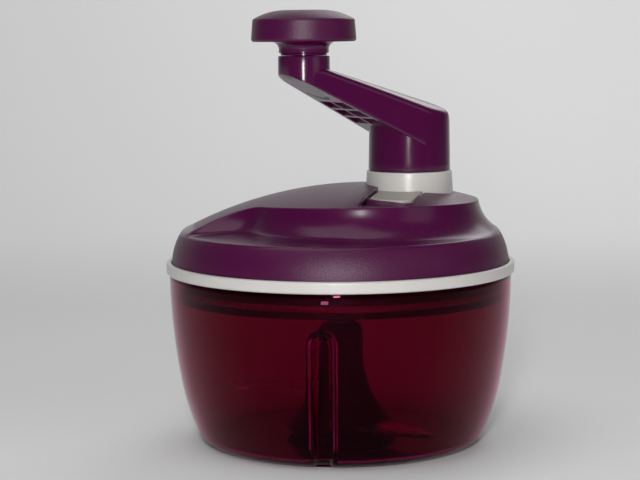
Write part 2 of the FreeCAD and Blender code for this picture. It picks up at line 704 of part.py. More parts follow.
def keyhole(spread):
    """Plan outline of the crown, a circle with a tail to the left, widened by a spread."""
    tilt = math.atan((TAIL_ROOT_HALF - TAIL_TIP_HALF) / (TAIL_ROOT_X - TAIL_TIP_X))
    along = Vector(math.cos(tilt), math.sin(tilt), 0)
    out = Vector(-math.sin(tilt), math.cos(tilt), 0)
    centre = Vector(CROWN_CENTRE, 0, 0)
    root = Vector(TAIL_ROOT_X, TAIL_ROOT_HALF, 0)
    tip = Vector(TAIL_TIP_X, TAIL_TIP_HALF, 0)
    offset = root + out * TAIL_BLEND - centre
    shadow = offset.dot(along)
    reach = (CROWN_RADIUS + TAIL_BLEND) ** 2 - offset.dot(offset)
    blend = centre + offset + along * (-shadow - math.sqrt(shadow ** 2 + reach))
    to_line = out * -1.0
    to_circle = (centre - blend).normalize()
    radius = TAIL_BLEND - spread
    line_end = blend + to_line * radius
    circle_end = blend + to_circle * radius
    blend_middle = blend + (to_line + to_circle).normalize() * radius
    tail_end = tip + out * spread

    def flip(point):
        return Vector(point.x, -point.y, 0)

    def straight(first, second):
        return Part.LineSegment(first, second).toShape()

    def bent(first, middle, last):
        return Part.Arc(first, middle, last).toShape()

    far = Vector(CROWN_CENTRE + CROWN_RADIUS + spread, 0, 0)
    top = Vector(CROWN_CENTRE, CROWN_RADIUS + spread, 0)
    quarter = math.sqrt(0.5) * (CROWN_RADIUS + spread)
    upper_middle = centre + Vector(quarter, quarter, 0)
    left_middle = (circle_end - centre).normalize() + Vector(0, 1, 0)
    left_middle = centre + left_middle.normalize() * (CROWN_RADIUS + spread)
    return Part.Wire([
        straight(flip(tail_end), tail_end),
        straight(tail_end, line_end),
        bent(line_end, blend_middle, circle_end),
        bent(circle_end, left_middle, top),
        bent(top, upper_middle, far),
        bent(far, flip(upper_middle), flip(top)),
        bent(flip(top), flip(left_middle), flip(circle_end)),
        bent(flip(circle_end), flip(blend_middle), flip(line_end)),
        straight(flip(line_end), flip(tail_end)),
    ])


def crown(inset):
    """The crown's hollowed flanks, lofted up through widened keyholes, under the domed top."""
    top_lean = math.radians(SCOTIA_TOP_LEAN)
    centre_spread = SCOTIA_ARC * math.cos(top_lean)
    centre_height = SCOTIA_TOP + SCOTIA_ARC * math.sin(top_lean)
    sections = []
    for lean in SCOTIA_FOOT_LEANS + (SCOTIA_TOP_LEAN,):
        lean = math.radians(lean)
        spread = centre_spread - (SCOTIA_ARC + inset) * math.cos(lean)
        section = keyhole(spread)
        section.translate(Vector(0, 0, centre_height - (SCOTIA_ARC + inset) * math.sin(lean)))
        sections.append(section)
    flank = Part.makeLoft(sections, True, False)
    rise = DOME_TOP - SCOTIA_TOP + 2.0
    top_spread = centre_spread - (SCOTIA_ARC + inset) * math.cos(top_lean)
    low = centre_height - (SCOTIA_ARC + inset) * math.sin(top_lean)
    lower = keyhole(top_spread)
    lower.translate(Vector(0, 0, low))
    upper = keyhole(top_spread - rise * math.tan(top_lean))
    upper.translate(Vector(0, 0, low + rise))
    neck = Part.makeLoft([lower, upper], True, True)
    return flank.fuse(neck).common(dome(inset))


def dome(inset):
    """The domed top: a long arc from left to right, turned about a low axis along X."""
    axis_height = DOME_TOP - DOME_ARC_Y
    radius = DOME_ARC_X - inset
    top = DOME_TOP - inset
    half = BRIM_RADIUS + 32.0
    drop = radius - math.sqrt(radius ** 2 - half ** 2)
    left = (DOME_X - half, 0, top - drop)
    right = (DOME_X + half, 0, top - drop)
    face = Part.Face(Part.Wire([
        arc(left, (DOME_X, 0, top), right),
        line(right, (DOME_X + half, 0, axis_height)),
        line((DOME_X + half, 0, axis_height), (DOME_X - half, 0, axis_height)),
        line((DOME_X - half, 0, axis_height), left),
    ]))
    return face.revolve(Vector(0, 0, axis_height), Vector(1, 0, 0), 360)


def skirt_radius(height, inset):
    """Radius of the skirt's bulging side, which stands upright at its foot."""
    reach = SKIRT_ARC - inset
    return SKIRT_RADIUS - SKIRT_ARC + math.sqrt(reach ** 2 - (height - COVER_BOTTOM) ** 2)


def skirt(inset):
    radius = SKIRT_RADIUS - inset
    bottom = COVER_BOTTOM
    top = SHOULDER_HEIGHT - inset

    def at(height):
        return (skirt_radius(height, inset), 0, height)

    shoulder = at(top)
    inner = (CROWN_RADIUS - 4.0, 0, top + LEDGE_RISE)
    return turned([
        arc((radius, 0, bottom), at((bottom + top) / 2), shoulder),
        line(shoulder, inner),
        line(inner, (0, 0, top + LEDGE_RISE)),
        line((0, 0, top + LEDGE_RISE), (0, 0, bottom)),
        line((0, 0, bottom), (radius, 0, bottom)),
    ])


def tab_plan(grow):
    """Plan of the tab, out from the collar, before it is turned to its angle."""
    root = TAB_ROOT - grow
    half = TAB_WIDTH / 2 + grow
    end = TAB_ROOT + TAB_LENGTH + grow
    corner = TAB_CORNER + grow
    nick = corner * (1 - math.sqrt(0.5))
    root_x = math.sqrt(root ** 2 - half ** 2)
    return Part.Wire([
        arc((root_x, half, 0), (root, 0, 0), (root_x, -half, 0)),
        line((root_x, -half, 0), (end - corner, -half, 0)),
        arc((end - corner, -half, 0), (end - nick, nick - half, 0), (end, corner - half, 0)),
        line((end, corner - half, 0), (end, half - corner, 0)),
        arc((end, half - corner, 0), (end - nick, half - nick, 0), (end - corner, half, 0)),
        line((end - corner, half, 0), (root_x, half, 0)),
    ])


def tab_scoop(grow):
    """The shallow scoop in front of the tab, which shows its lip, grown by the wall under it."""
    half = TAB_WIDTH / 2 + TAB_SIDE_GAP + grow
    start = TAB_ROOT + TAB_LENGTH - TAB_CORNER
    return Part.makeBox(TAB_SCOOP_REACH + TAB_CORNER, 2 * half, ABOVE_DOME - TAB_SCOOP_FLOOR + grow,
                        Vector(start, -half, TAB_SCOOP_FLOOR - grow))


def to_tab(shape):
    shape.rotate(Vector(0, 0, 0), Vector(0, 0, 1), TAB_ANGLE)
    shape.translate(Vector(CRANK_X, 0, 0))
    return shape


def tab_axis():
    """Distance of the tab's pin from the collar's axis, and its height."""
    return TAB_ROOT + TAB_BEAD_RADIUS + FACE, TAB_ROOT_HEIGHT - TAB_BEAD_RADIUS - FACE


def across_tab(radius, half):
    """A round bar across the tab on its pin's axis."""
    reach, height = tab_axis()
    return Part.makeCylinder(radius, 2 * half, Vector(reach, -half, height), Vector(0, 1, 0))


def release_tab():
    long = 2 * (TAB_ROOT + TAB_LENGTH)
    slab = Part.makeBox(long, long, TAB_THICKNESS, Vector(-TAB_LENGTH, -long / 2, -TAB_THICKNESS))
    slab.rotate(Vector(0, 0, 0), Vector(0, 1, 0), TAB_SLOPE)
    slab.translate(Vector(TAB_ROOT, 0, TAB_ROOT_HEIGHT))
    tab = prism(tab_plan(0.0), TAB_POCKET_FLOOR, ABOVE_DOME).common(slab)
    tab = tab.cut(cylinder(TAB_ROOT, TAB_POCKET_FLOOR, ABOVE_DOME))
    tab = tab.fuse(across_tab(TAB_BEAD_RADIUS, TAB_WIDTH / 2 - TAB_BEAD_MARGIN))
    return to_tab(tab.cut(across_tab(TAB_PIN_RADIUS + RUNNING, TAB_WIDTH / 2)))


def tab_pin():
    return to_tab(across_tab(TAB_PIN_RADIUS, TAB_WIDTH / 2 + TAB_PIN_HOLD))


def lid_cover():
    shoulder = cylinder(skirt_radius(SHOULDER_HEIGHT, 0.0), COVER_BOTTOM, ABOVE_DOME)
    outside = skirt(0.0).fuse(crown(0.0).common(shoulder))
    under = cylinder(skirt_radius(SHOULDER_HEIGHT, 0.0) - COVER_WALL, COVER_BOTTOM, DOME_TOP)
    inside = skirt(COVER_WALL).fuse(crown(COVER_WALL).common(under))
    shell = outside.cut(inside)
    low_posts = [cylinder(COVER_POST_RADIUS, DECK_TOP, SHOULDER_HEIGHT - 1.0, x, y) for x, y in cover_posts()]
    posts = [cylinder(COLLAR_POST_RADIUS, COLLAR_FLANGE_TOP, DOME_TOP, x, y) for x, y in collar_posts()]
    pan = prism(tab_plan(TAB_SIDE_GAP + TAB_POCKET_WALL), TAB_POCKET_FLOOR - TAB_POCKET_WALL, ABOVE_DOME)
    pans = [to_tab(pan), to_tab(tab_scoop(TAB_POCKET_WALL))]
    shell = shell.fuse([piece.common(outside) for piece in posts + pans] + low_posts)
    shell = shell.cut(cylinder(COLLAR_FOOT_RADIUS + FACE, COLLAR_FLANGE_TOP, ABOVE_DOME, CRANK_X))
    pocket = to_tab(prism(tab_plan(TAB_SIDE_GAP), TAB_POCKET_FLOOR, ABOVE_DOME))
    return shell.cut([pocket, to_tab(tab_scoop(0.0)), tab_pin(), cover_screws(), collar_screws()])


def collar():
    outside = cylinder(COLLAR_FOOT_RADIUS, COLLAR_FLANGE_BOTTOM, COLLAR_FOOT_TOP, CRANK_X)
    outside = outside.fuse(cone(COLLAR_FOOT_RADIUS, COLLAR_RADIUS, COLLAR_FOOT_TOP, COLLAR_TOP, CRANK_X))
    bore = COLLAR_RADIUS - COLLAR_WALL
    bush_bottom = COLLAR_PLATE_BOTTOM - BUSH_LENGTH
    inside = cylinder(bore, COLLAR_FLANGE_BOTTOM, COLLAR_PLATE_BOTTOM, CRANK_X)
    inside = inside.cut(cylinder(COLLAR_BOSS_RADIUS, bush_bottom, COLLAR_PLATE_BOTTOM, CRANK_X))
    flange = tube(COLLAR_FLANGE_RADIUS, bore, COLLAR_FLANGE_BOTTOM, COLLAR_FLANGE_TOP, CRANK_X)
    shape = outside.cut(inside).fuse(flange)
    shape = shape.cut(cylinder(collar_bush_radius(), bush_bottom, COLLAR_TOP, CRANK_X))
    return shape.cut(collar_screws())


def collar_bush_radius():
    return SHAFT_RADIUS + RUNNING + BUSH_WALL


def collar_bush():
    bottom = COLLAR_PLATE_BOTTOM - BUSH_LENGTH
    return tube(collar_bush_radius(), SHAFT_RADIUS + RUNNING, bottom, COLLAR_TOP, CRANK_X)


# Crank, drawn with its arm along +X and turned to its angle

def to_crank(shape):
    shape.rotate(Vector(0, 0, 0), Vector(0, 0, 1), CRANK_ANGLE)
    shape.translate(Vector(CRANK_X, 0, 0))
    return shape


def arm_plan(inset):
    """Plan of the arm: the tower's and the neck's circles joined by their outer tangents."""
    tower = TOWER_TOP_RADIUS - inset
    neck = NECK_RADIUS - inset
    lean = math.asin((tower - neck) / CRANK_THROW)
    cosine, sine = math.cos(lean), math.sin(lean)
    high_start = (tower * sine, tower * cosine, 0)
    high_end = (CRANK_THROW + neck * sine, neck * cosine, 0)
    low_start = (high_start[0], -high_start[1], 0)
    low_end = (high_end[0], -high_end[1], 0)
    return Part.Wire([
        line(high_start, high_end),
        arc(high_end, (CRANK_THROW + neck, 0, 0), low_end),
        line(low_end, low_start),
        arc(low_start, (-tower, 0, 0), high_start),
    ])


def under_top(inset):
    """Everything under the arm's crowned top and behind its rounded heel, seen from the side."""
    slope = math.radians(ARM_TOP_SLOPE)
    side = -ARM_SIDEWAYS
    apex = ARM_TOP_AT_AXIS - inset / math.cos(slope)
    heel = TOWER_RADIUS - inset + FACE
    arc_radius = ARM_HEEL_ARC - inset
    centre_x = arc_radius - heel
    centre_z = apex + centre_x * math.tan(slope) - arc_radius / math.cos(slope)
    turn = (math.pi / 2 + slope) + (math.pi / 2 - slope) / 2
    middle = (centre_x + arc_radius * math.cos(turn), side, centre_z + arc_radius * math.sin(turn))
    meet = (centre_x - arc_radius * math.sin(slope), side, centre_z + arc_radius * math.cos(slope))
    far = 2 * CRANK_THROW
    far_top = (far, side, apex + far * math.tan(slope))
    base = TOWER_BOTTOM - 10.0
    face = Part.Face(Part.Wire([
        line((-heel, side, base), (-heel, side, centre_z)),
        arc((-heel, side, centre_z), middle, meet),
        line(meet, far_top),
        line(far_top, (far, side, base)),
        line((far, side, base), (-heel, side, base)),
    ]))
    profile = face.extrude(Vector(0, 2 * ARM_SIDEWAYS, 0))
    radius = ARM_CROWN_ARC - inset
    direction = Vector(math.cos(slope), 0, math.sin(slope))
    down = Vector(math.sin(slope), 0, -math.cos(slope))
    start = Vector(0, 0, apex) + down * radius - direction * CRANK_THROW
    return profile.common(Part.makeCylinder(radius, 3 * CRANK_THROW, start, direction))


def above_under(lift):
    """Everything above the arm's sloping underside."""
    slope = math.tan(math.radians(ARM_UNDER_SLOPE))
    side = -ARM_SIDEWAYS
    near = -2 * TOWER_RADIUS
    far = 2 * CRANK_THROW
    high = KNOB_TOP + 30.0
    low = [(x, ARM_UNDER_START + lift + (x - TOWER_RADIUS) * slope) for x in (near, far)]
    points = [Vector(x, side, z) for x, z in low] + [Vector(far, side, high), Vector(near, side, high)]
    return Part.Face(Part.makePolygon(points + points[:1])).extrude(Vector(0, 2 * ARM_SIDEWAYS, 0))


def arm_ribs():
    """Ribs in the arm's hollow: one along it and three across."""
    top = NECK_TOP + 10.0
    rise = top - TOWER_BOTTOM
    length = CRANK_THROW - TOWER_RADIUS - NECK_RADIUS + 5.0
    ribs = [Part.makeBox(length, RIB_THICKNESS, rise, Vector(TOWER_RADIUS - 1.0, -RIB_THICKNESS / 2, TOWER_BOTTOM))]
    for k in range(ARM_RIBS):
        place = TOWER_RADIUS + ARM_RIB_STEP * (k + 1)
        corner = Vector(place, -TOWER_RADIUS, TOWER_BOTTOM)
        ribs.append(Part.makeBox(RIB_THICKNESS, 2 * TOWER_RADIUS, rise, corner))
    return ribs


def tower_fins():
    """Two crossed fins that hold the socket's boss inside the tower."""
    bottom = TOWER_BOTTOM + RIB_THICKNESS
    half = RIB_THICKNESS / 2
    rise = ABOVE_ARM - bottom
    return [
        Part.makeBox(2 * TOWER_RADIUS, RIB_THICKNESS, rise, Vector(-TOWER_RADIUS, -half, bottom)),
        Part.makeBox(RIB_THICKNESS, 2 * TOWER_RADIUS, rise, Vector(-half, -TOWER_RADIUS, bottom)),
    ]


def crank_arm():
    tower = cone(TOWER_RADIUS, TOWER_TOP_RADIUS, TOWER_BOTTOM, ABOVE_ARM).common(under_top(0.0))
    web_top = ARM_TOP_AT_AXIS + (CRANK_THROW - NECK_RADIUS) * math.tan(math.radians(ARM_TOP_SLOPE))
    web = prism(arm_plan(0.0), TOWER_BOTTOM, web_top).common(under_top(0.0)).common(above_under(0.0))
    neck = cylinder(NECK_RADIUS, TOWER_BOTTOM, NECK_TOP, CRANK_THROW).common(above_under(0.0))
    solid = tower.fuse([web, neck])

    wall = CRANK_WALL
    inner_tower = cone(TOWER_RADIUS - wall, TOWER_TOP_RADIUS - wall, TOWER_BOTTOM, ABOVE_ARM).common(under_top(wall))
    inner_web = prism(arm_plan(wall), TOWER_BOTTOM, web_top - wall).common(under_top(wall))
    inner_web = inner_web.common(above_under(-wall)).cut(cylinder(TOWER_RADIUS, TOWER_BOTTOM, ABOVE_ARM))
    inner_neck = cylinder(NECK_RADIUS - wall, TOWER_BOTTOM, NECK_TOP - NECK_PLATE, CRANK_THROW)
    hollow = solid.cut(inner_tower).cut(inner_web).cut(inner_neck)
    for rib in arm_ribs():
        kept = rib.common(web).common(above_under(ARM_RIB_LIFT))
        hollow = hollow.fuse(kept.cut(inner_neck))

    boss = cylinder(TOWER_BOSS_RADIUS, TOWER_BOTTOM, ARM_TOP_AT_AXIS)
    for piece in [boss] + tower_fins():
        hollow = hollow.fuse(piece.common(tower))
    hollow = hollow.cut(cylinder(SHAFT_RADIUS, TOWER_BOTTOM, SHAFT_SOCKET_BOTTOM))
    hollow = hollow.cut(cylinder(KNOB_SPINDLE_RADIUS + RUNNING, NECK_TOP - NECK_PLATE, NECK_TOP, CRANK_THROW))
    socket = hexagon(SHAFT_FLATS, SHAFT_SOCKET_BOTTOM, SHAFT_SOCKET_BOTTOM + SHAFT_SOCKET, CRANK_X)
    return to_crank(hollow).cut(socket)


# Knob, drawn over the neck's axis

def to_knob(shape):
    shape.translate(Vector(CRANK_THROW, 0, 0))
    return to_crank(shape)


def knob_stem():
    bottom = NECK_TOP + KNOB_GAP
    collar_bottom = bottom + GROOVE_HEIGHT
    flare_middle = (STEM_RADIUS + 1.1, 0, STEM_FLARE_BOTTOM + 0.62 * (KNOB_EDGE_BOTTOM - STEM_FLARE_BOTTOM))
    flare_end = (STEM_FLARE_RADIUS, 0, KNOB_EDGE_BOTTOM)
    disc = KNOB_DISC_RADIUS
    outline = turned([
        line((0, 0, bottom), (GROOVE_RADIUS, 0, bottom)),
        line((GROOVE_RADIUS, 0, bottom), (GROOVE_RADIUS, 0, collar_bottom)),
        line((GROOVE_RADIUS, 0, collar_bottom), (STEM_RADIUS, 0, collar_bottom)),
        line((STEM_RADIUS, 0, collar_bottom), (STEM_RADIUS, 0, STEM_FLARE_BOTTOM)),
        arc((STEM_RADIUS, 0, STEM_FLARE_BOTTOM), flare_middle, flare_end),
        line(flare_end, (disc, 0, KNOB_EDGE_BOTTOM)),
        line((disc, 0, KNOB_EDGE_BOTTOM), (disc, 0, KNOB_STEM_TOP)),
        line((disc, 0, KNOB_STEM_TOP), (0, 0, KNOB_STEM_TOP)),
        line((0, 0, KNOB_STEM_TOP), (0, 0, bottom)),
    ])
    stem = outline.fuse(cylinder(KNOB_SPINDLE_RADIUS, KNOB_WASHER_TOP, bottom))
    return to_knob(stem.cut(cylinder(SCREW_RADIUS, KNOB_WASHER_TOP, KNOB_WASHER_TOP + KNOB_SCREW_LENGTH)))


def knob_washer():
    bottom = KNOB_WASHER_TOP - KNOB_WASHER_THICKNESS
    return to_knob(tube(KNOB_WASHER_RADIUS, SCREW_RADIUS, bottom, KNOB_WASHER_TOP))


def knob_screw():
    head = KNOB_WASHER_TOP - KNOB_WASHER_THICKNESS - SCREW_HEAD_HEIGHT
    return to_knob(screw(0.0, 0.0, head, KNOB_SCREW_LENGTH + KNOB_WASHER_THICKNESS, False))


def knob_cap():
    low = KNOB_EDGE_BOTTOM
    edge = KNOB_EDGE_ROUND
    side_top = (KNOB_SIDE_TOP_RADIUS, 0, KNOB_SIDE_TOP)
    shoulder = (KNOB_SHOULDER_RADIUS, 0, KNOB_SHOULDER_HEIGHT)
    corner = (KNOB_SIDE_TOP_RADIUS - 0.2, 0, KNOB_SIDE_TOP + 0.9)
    flat = (KNOB_DOME_FLAT_RADIUS, 0, KNOB_TOP)
    halfway = ((KNOB_SHOULDER_RADIUS + KNOB_DOME_FLAT_RADIUS) / 2, 0, KNOB_TOP - 1.1)
    outer = turned([
        line((0, 0, low), (KNOB_RADIUS - edge, 0, low)),
        arc((KNOB_RADIUS - edge, 0, low), (KNOB_RADIUS - 0.29 * edge, 0, low + 0.29 * edge),
            (KNOB_RADIUS, 0, low + edge)),
        line((KNOB_RADIUS, 0, low + edge), side_top),
        arc(side_top, corner, shoulder),
        arc(shoulder, halfway, flat),
        line(flat, (0, 0, KNOB_TOP)),
        line((0, 0, KNOB_TOP), (0, 0, low)),
    ])
    inner = cylinder(KNOB_DISC_RADIUS, low, KNOB_STEM_TOP)
    inner_top = KNOB_SHOULDER_RADIUS - KNOB_WALL - 1.6
    inner = inner.fuse(cone(KNOB_DISC_RADIUS - 1.0, inner_top, KNOB_STEM_TOP, KNOB_SHOULDER_HEIGHT - 1.2))
    return to_knob(outer.cut(inner))


PIECES = (
    bowl, base_ring, bowl_pin,
    lid_deck, lid_cover, rim_ring, lid_gasket, collar, collar_bush, gear_bridge, spindle_bush, shaft_washer,
    bridge_screws, cover_screws, collar_screws, tab_pin,
    release_tab,
    crank_arm, crank_shaft, drive_gear,
    knob_cap, knob_stem, knob_washer, knob_screw,
    drive_spindle, pinion,
    blade_hub, hub_cap, foot_bush, upper_blade, lower_blade,
)

os.makedirs("parts", exist_ok=True)
for piece in PIECES:
    save(piece.__name__, piece())
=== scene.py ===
"""A crank food chopper dressed over its packed construction, laid out as an add-on and run as a script."""

import json
import math

import bmesh
import bpy
import numpy as np
from bpy.props import FloatProperty, FloatVectorProperty, IntProperty, PointerProperty
from mathutils import Matrix, Vector


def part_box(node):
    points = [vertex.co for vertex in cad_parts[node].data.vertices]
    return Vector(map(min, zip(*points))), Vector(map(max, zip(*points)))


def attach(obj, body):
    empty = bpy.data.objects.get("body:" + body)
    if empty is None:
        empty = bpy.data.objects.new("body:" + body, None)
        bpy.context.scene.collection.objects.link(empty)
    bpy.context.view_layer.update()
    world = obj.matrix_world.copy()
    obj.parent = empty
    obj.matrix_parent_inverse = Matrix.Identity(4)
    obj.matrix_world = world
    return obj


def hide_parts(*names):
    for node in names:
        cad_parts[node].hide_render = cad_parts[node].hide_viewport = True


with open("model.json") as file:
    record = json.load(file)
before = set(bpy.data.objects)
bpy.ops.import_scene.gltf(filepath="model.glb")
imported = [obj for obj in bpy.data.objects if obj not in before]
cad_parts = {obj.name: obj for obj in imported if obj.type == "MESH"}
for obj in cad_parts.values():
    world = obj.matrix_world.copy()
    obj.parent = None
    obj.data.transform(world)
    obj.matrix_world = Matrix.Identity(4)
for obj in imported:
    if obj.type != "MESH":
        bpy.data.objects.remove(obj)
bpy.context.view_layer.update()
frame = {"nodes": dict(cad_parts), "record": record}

bl_info = {
    "name": "Crank food chopper",
    "version": (1, 0, 0),
    "blender": (4, 5, 0),
    "location": "3D view, sidebar, Chopper tab",
    "description": "Builds the bowl, lid, crank, knob and blade unit over the packed construction",
    "category": "Object",
}

MM = 0.001
LOW = 0
HIGH = 1


def edge(node, corner, axis):
    """One side of a construction node's box, in millimetres."""
    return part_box(node)[corner]["xyz".index(axis)] / MM


def middle_of(node, axis):
    """The middle of a construction node's box along an axis, in millimetres."""
    return (edge(node, LOW, axis) + edge(node, HIGH, axis)) / 2


# Places read from the frame, in millimetres
CRANK_X = middle_of("collar", "x")
KNOB_X = middle_of("knob_cap", "x")
KNOB_Y = middle_of("knob_cap", "y")
KNOB_TOP = edge("knob_cap", HIGH, "z")
KNOB_LOW = edge("knob_cap", LOW, "z")
NECK_TOP = edge("crank_arm", HIGH, "z")
TOWER_LOW = edge("crank_arm", LOW, "z")
COLLAR_TOP = edge("collar", HIGH, "z")
COLLAR_LOW = edge("collar", LOW, "z")
RING_LOW = edge("rim_ring", LOW, "z")
RING_HIGH = edge("rim_ring", HIGH, "z")
RING_RADIUS = edge("rim_ring", HIGH, "x")
BRIM_TOP = edge("bowl", HIGH, "z")
COVER_SEAT = 2.2
COVER_LOW = RING_HIGH - COVER_SEAT
ARM_THROW = math.hypot(KNOB_X - CRANK_X, KNOB_Y)
ARM_ANGLE = math.atan2(KNOB_Y, KNOB_X - CRANK_X)


# Surfaces worked out with numpy

def grid_mesh(name, points, wrap_u=False, wrap_v=False, **finish):
    """A mesh over a grid of points, points[i, j] in millimetres, wrapped round in either direction if asked.
    Faces join each point to its neighbours along both directions; points that meet are merged."""
    nu, nv = points.shape[:2]
    vertices = points.reshape(-1, 3) * MM
    rows = np.arange(nu if wrap_u else nu - 1)
    columns = np.arange(nv if wrap_v else nv - 1)
    i, j = np.meshgrid(rows, columns, indexing="ij")
    i2, j2 = (i + 1) % nu, (j + 1) % nv
    faces = np.stack([i * nv + j, i2 * nv + j, i2 * nv + j2, i * nv + j2], axis=-1).reshape(-1, 4)
    return finish_mesh(name, vertices, [faces], **finish)


def finish_mesh(name, vertices, face_sets, body=None, slot=None, material=None, smooth=35.0):
    """Puts arrays of vertices in metres and faces into a merged mesh that faces outwards, and rides it."""
    mesh = bpy.data.meshes.new(name)
    faces = [face for faces in face_sets for face in faces.tolist()]
    mesh.from_pydata(vertices.tolist(), [], faces)
    mesh.update()
    piece = bpy.data.objects.new(name, mesh)
    bpy.context.scene.collection.objects.link(piece)
    clean(piece)
    shade(piece, smooth)
    if material is not None:
        mesh.materials.append(material)
    if body is not None:
        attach(piece, body)
    return piece


def clean(piece, distance=1e-6):
    """Merges points that meet, drops flat faces and turns the faces outwards."""
    work = bmesh.new()
    work.from_mesh(piece.data)
    bmesh.ops.remove_doubles(work, verts=work.verts, dist=distance)
    bmesh.ops.dissolve_degenerate(work, edges=work.edges, dist=distance)
    bmesh.ops.recalc_face_normals(work, faces=work.faces)
    work.to_mesh(piece.data)
    work.free()


def shade(piece, angle):
    """Smooth shading, with edges sharper than the angle kept crisp."""
    mesh = piece.data
    mesh.polygons.foreach_set("use_smooth", np.ones(len(mesh.polygons), dtype=bool))
    mesh.set_sharp_from_angle(angle=math.radians(angle))


def arc(x, y, radius, turn):
    """Points on a circle round (x, y), at each turn in radians: the centre plus the radius times the
    cosine and the sine of the turn."""
    return np.stack([x + radius * np.cos(turn), y + radius * np.sin(turn)], axis=-1)


def turned(points, angle, x=0.0):
    """Points turned about the upright axis by an angle in radians, then moved along X."""
    out = points.copy()
    out[..., 0] = x + points[..., 0] * math.cos(angle) - points[..., 1] * math.sin(angle)
    out[..., 1] = points[..., 0] * math.sin(angle) + points[..., 1] * math.cos(angle)
    return out


def raised(flat, height):
    """Plan points lifted to a height, one for all of them or one for each."""
    return np.concatenate([flat, np.broadcast_to(height, flat.shape[:-1])[..., None]], axis=-1)


def rounded(corners, steps=6):
    """Points along a closed outline of (across, up, radius) corners. Each corner is replaced by an arc
    of its radius, tangent to both sides: it starts where the radius times the tangent of half the turn
    is left to the corner, and its centre lies on the corner's bisector."""
    corners = np.asarray(corners, dtype=float)
    points = []
    count = len(corners)
    for k in range(count):
        here = corners[k, :2]
        before = corners[k - 1, :2] - here
        after = corners[(k + 1) % count, :2] - here
        before_length = np.linalg.norm(before)
        after_length = np.linalg.norm(after)
        radius = corners[k, 2]
        if radius <= 0.0 or before_length < 1e-6 or after_length < 1e-6:
            points.append(here[None])
            continue
        before = before / before_length
        after = after / after_length
        half = math.acos(np.clip(before @ after, -1.0, 1.0)) / 2
        if half > math.pi / 2 - 0.02:
            points.append(here[None])
            continue
        reach = min(radius / math.tan(half), 0.49 * before_length, 0.49 * after_length)
        radius = reach * math.tan(half)
        middle = (before + after) / np.linalg.norm(before + after)
        centre = here + middle * radius / math.sin(half)
        first = here + before * reach - centre
        last = here + after * reach - centre
        start = math.atan2(first[1], first[0])
        sweep = (math.atan2(last[1], last[0]) - start + math.pi) % (2 * math.pi) - math.pi
        turn = start + sweep * np.linspace(0.0, 1.0, steps)
        points.append(arc(*centre, radius, turn))
    return np.concatenate(points)


def subdivide(outline, longest, closed=True):
    """Adds evenly spaced points to the sides of an outline that are longer than a given length."""
    ends = np.roll(outline, -1, axis=0) if closed else outline[1:]
    starts = outline if closed else outline[:-1]
    parts = []
    for start, end in zip(starts, ends):
        count = max(1, int(math.ceil(np.linalg.norm(end - start) / longest)))
        share = np.arange(count)[:, None] / count
        parts.append(start + (end - start) * share)
    if not closed:
        parts.append(outline[-1:])
    return np.concatenate(parts)


def lathe(name, outline, x=0.0, y=0.0, turns=160, closed=True, **finish):
    """An outline of (radius, height) pairs turned about an upright axis: each point goes round a circle
    of its radius at its height. Points on the axis close up into poles."""
    angle = np.linspace(0.0, 2 * math.pi, turns, endpoint=False)
    radius, height = np.maximum(outline[:, 0], 0.0), outline[:, 1]
    points = np.empty((turns, len(outline), 3))
    points[..., 0] = x + np.cos(angle)[:, None] * radius
    points[..., 1] = y + np.sin(angle)[:, None] * radius
    points[..., 2] = height
    return grid_mesh(name, points, wrap_u=True, wrap_v=closed, **finish)


def smoothstep(value, low, high):
    """0 below low, 1 above high, and three t squared less two t cubed between."""
    t = np.clip((value - low) / (high - low), 0.0, 1.0)
    return t * t * (3 - 2 * t)


def soft_min(a, b, width):
    """The lower of two heights, blended by a parabola where they lie within a width of each other."""
    share = np.clip(0.5 + 0.5 * (b - a) / width, 0.0, 1.0)
    return b + (a - b) * share - width * share * (1 - share)


def soft_max(a, b, width):
    """The higher of two heights, blended in the same way."""
    return -soft_min(-a, -b, width)


def cut(piece, *cutters):
    """Takes cutter meshes out of a piece with exact booleans and deletes the cutters."""
    for cutter in cutters:
        modifier = piece.modifiers.new("solid", "BOOLEAN")
        modifier.operation = "DIFFERENCE"
        modifier.solver = "EXACT"
        modifier.object = cutter
        bpy.context.view_layer.update()
        graph = bpy.context.evaluated_depsgraph_get()
        result = bpy.data.meshes.new_from_object(piece.evaluated_get(graph))
        piece.modifiers.remove(modifier)
        old = piece.data
        piece.data = result
        bpy.data.meshes.remove(old)
        bpy.data.objects.remove(cutter)
    clean(piece)


# Shader groups: each puts out only values, colours and normals

def new_group(name, inputs, outputs):
    """An empty node group with float, colour or vector sockets, and its input and output nodes."""
    group = bpy.data.node_groups.new(name, "ShaderNodeTree")
    kinds = {"f": "NodeSocketFloat", "c": "NodeSocketColor", "v": "NodeSocketVector"}
    for label, kind, default in inputs:
        socket = group.interface.new_socket(label, in_out="INPUT", socket_type=kinds[kind])
        socket.default_value = default
    for label, kind in outputs:
        group.interface.new_socket(label, in_out="OUTPUT", socket_type=kinds[kind])
    start = group.nodes.new("NodeGroupInput")
    end = group.nodes.new("NodeGroupOutput")
    return group, start, end


def feed(tree, socket, value):
    """Links another socket into this one, or sets it where the value is a number or a colour."""
    if isinstance(value, bpy.types.NodeSocket):
        tree.links.new(value, socket)
    else:
        socket.default_value = value


def fill(tree, node, **values):
    """Feeds a node's inputs by name, with underscores for spaces."""
    for key, value in values.items():
        feed(tree, node.inputs[key.replace("_", " ")], value)


def add_node(tree, kind, **values):
    """A node in a tree, with each value set on the node itself or fed to its input of that name."""
    node = tree.nodes.new("ShaderNode" + kind)
    for key, value in values.items():
        if hasattr(node, key):
            setattr(node, key, value)
        else:
            fill(tree, node, **{key: value})
    return node


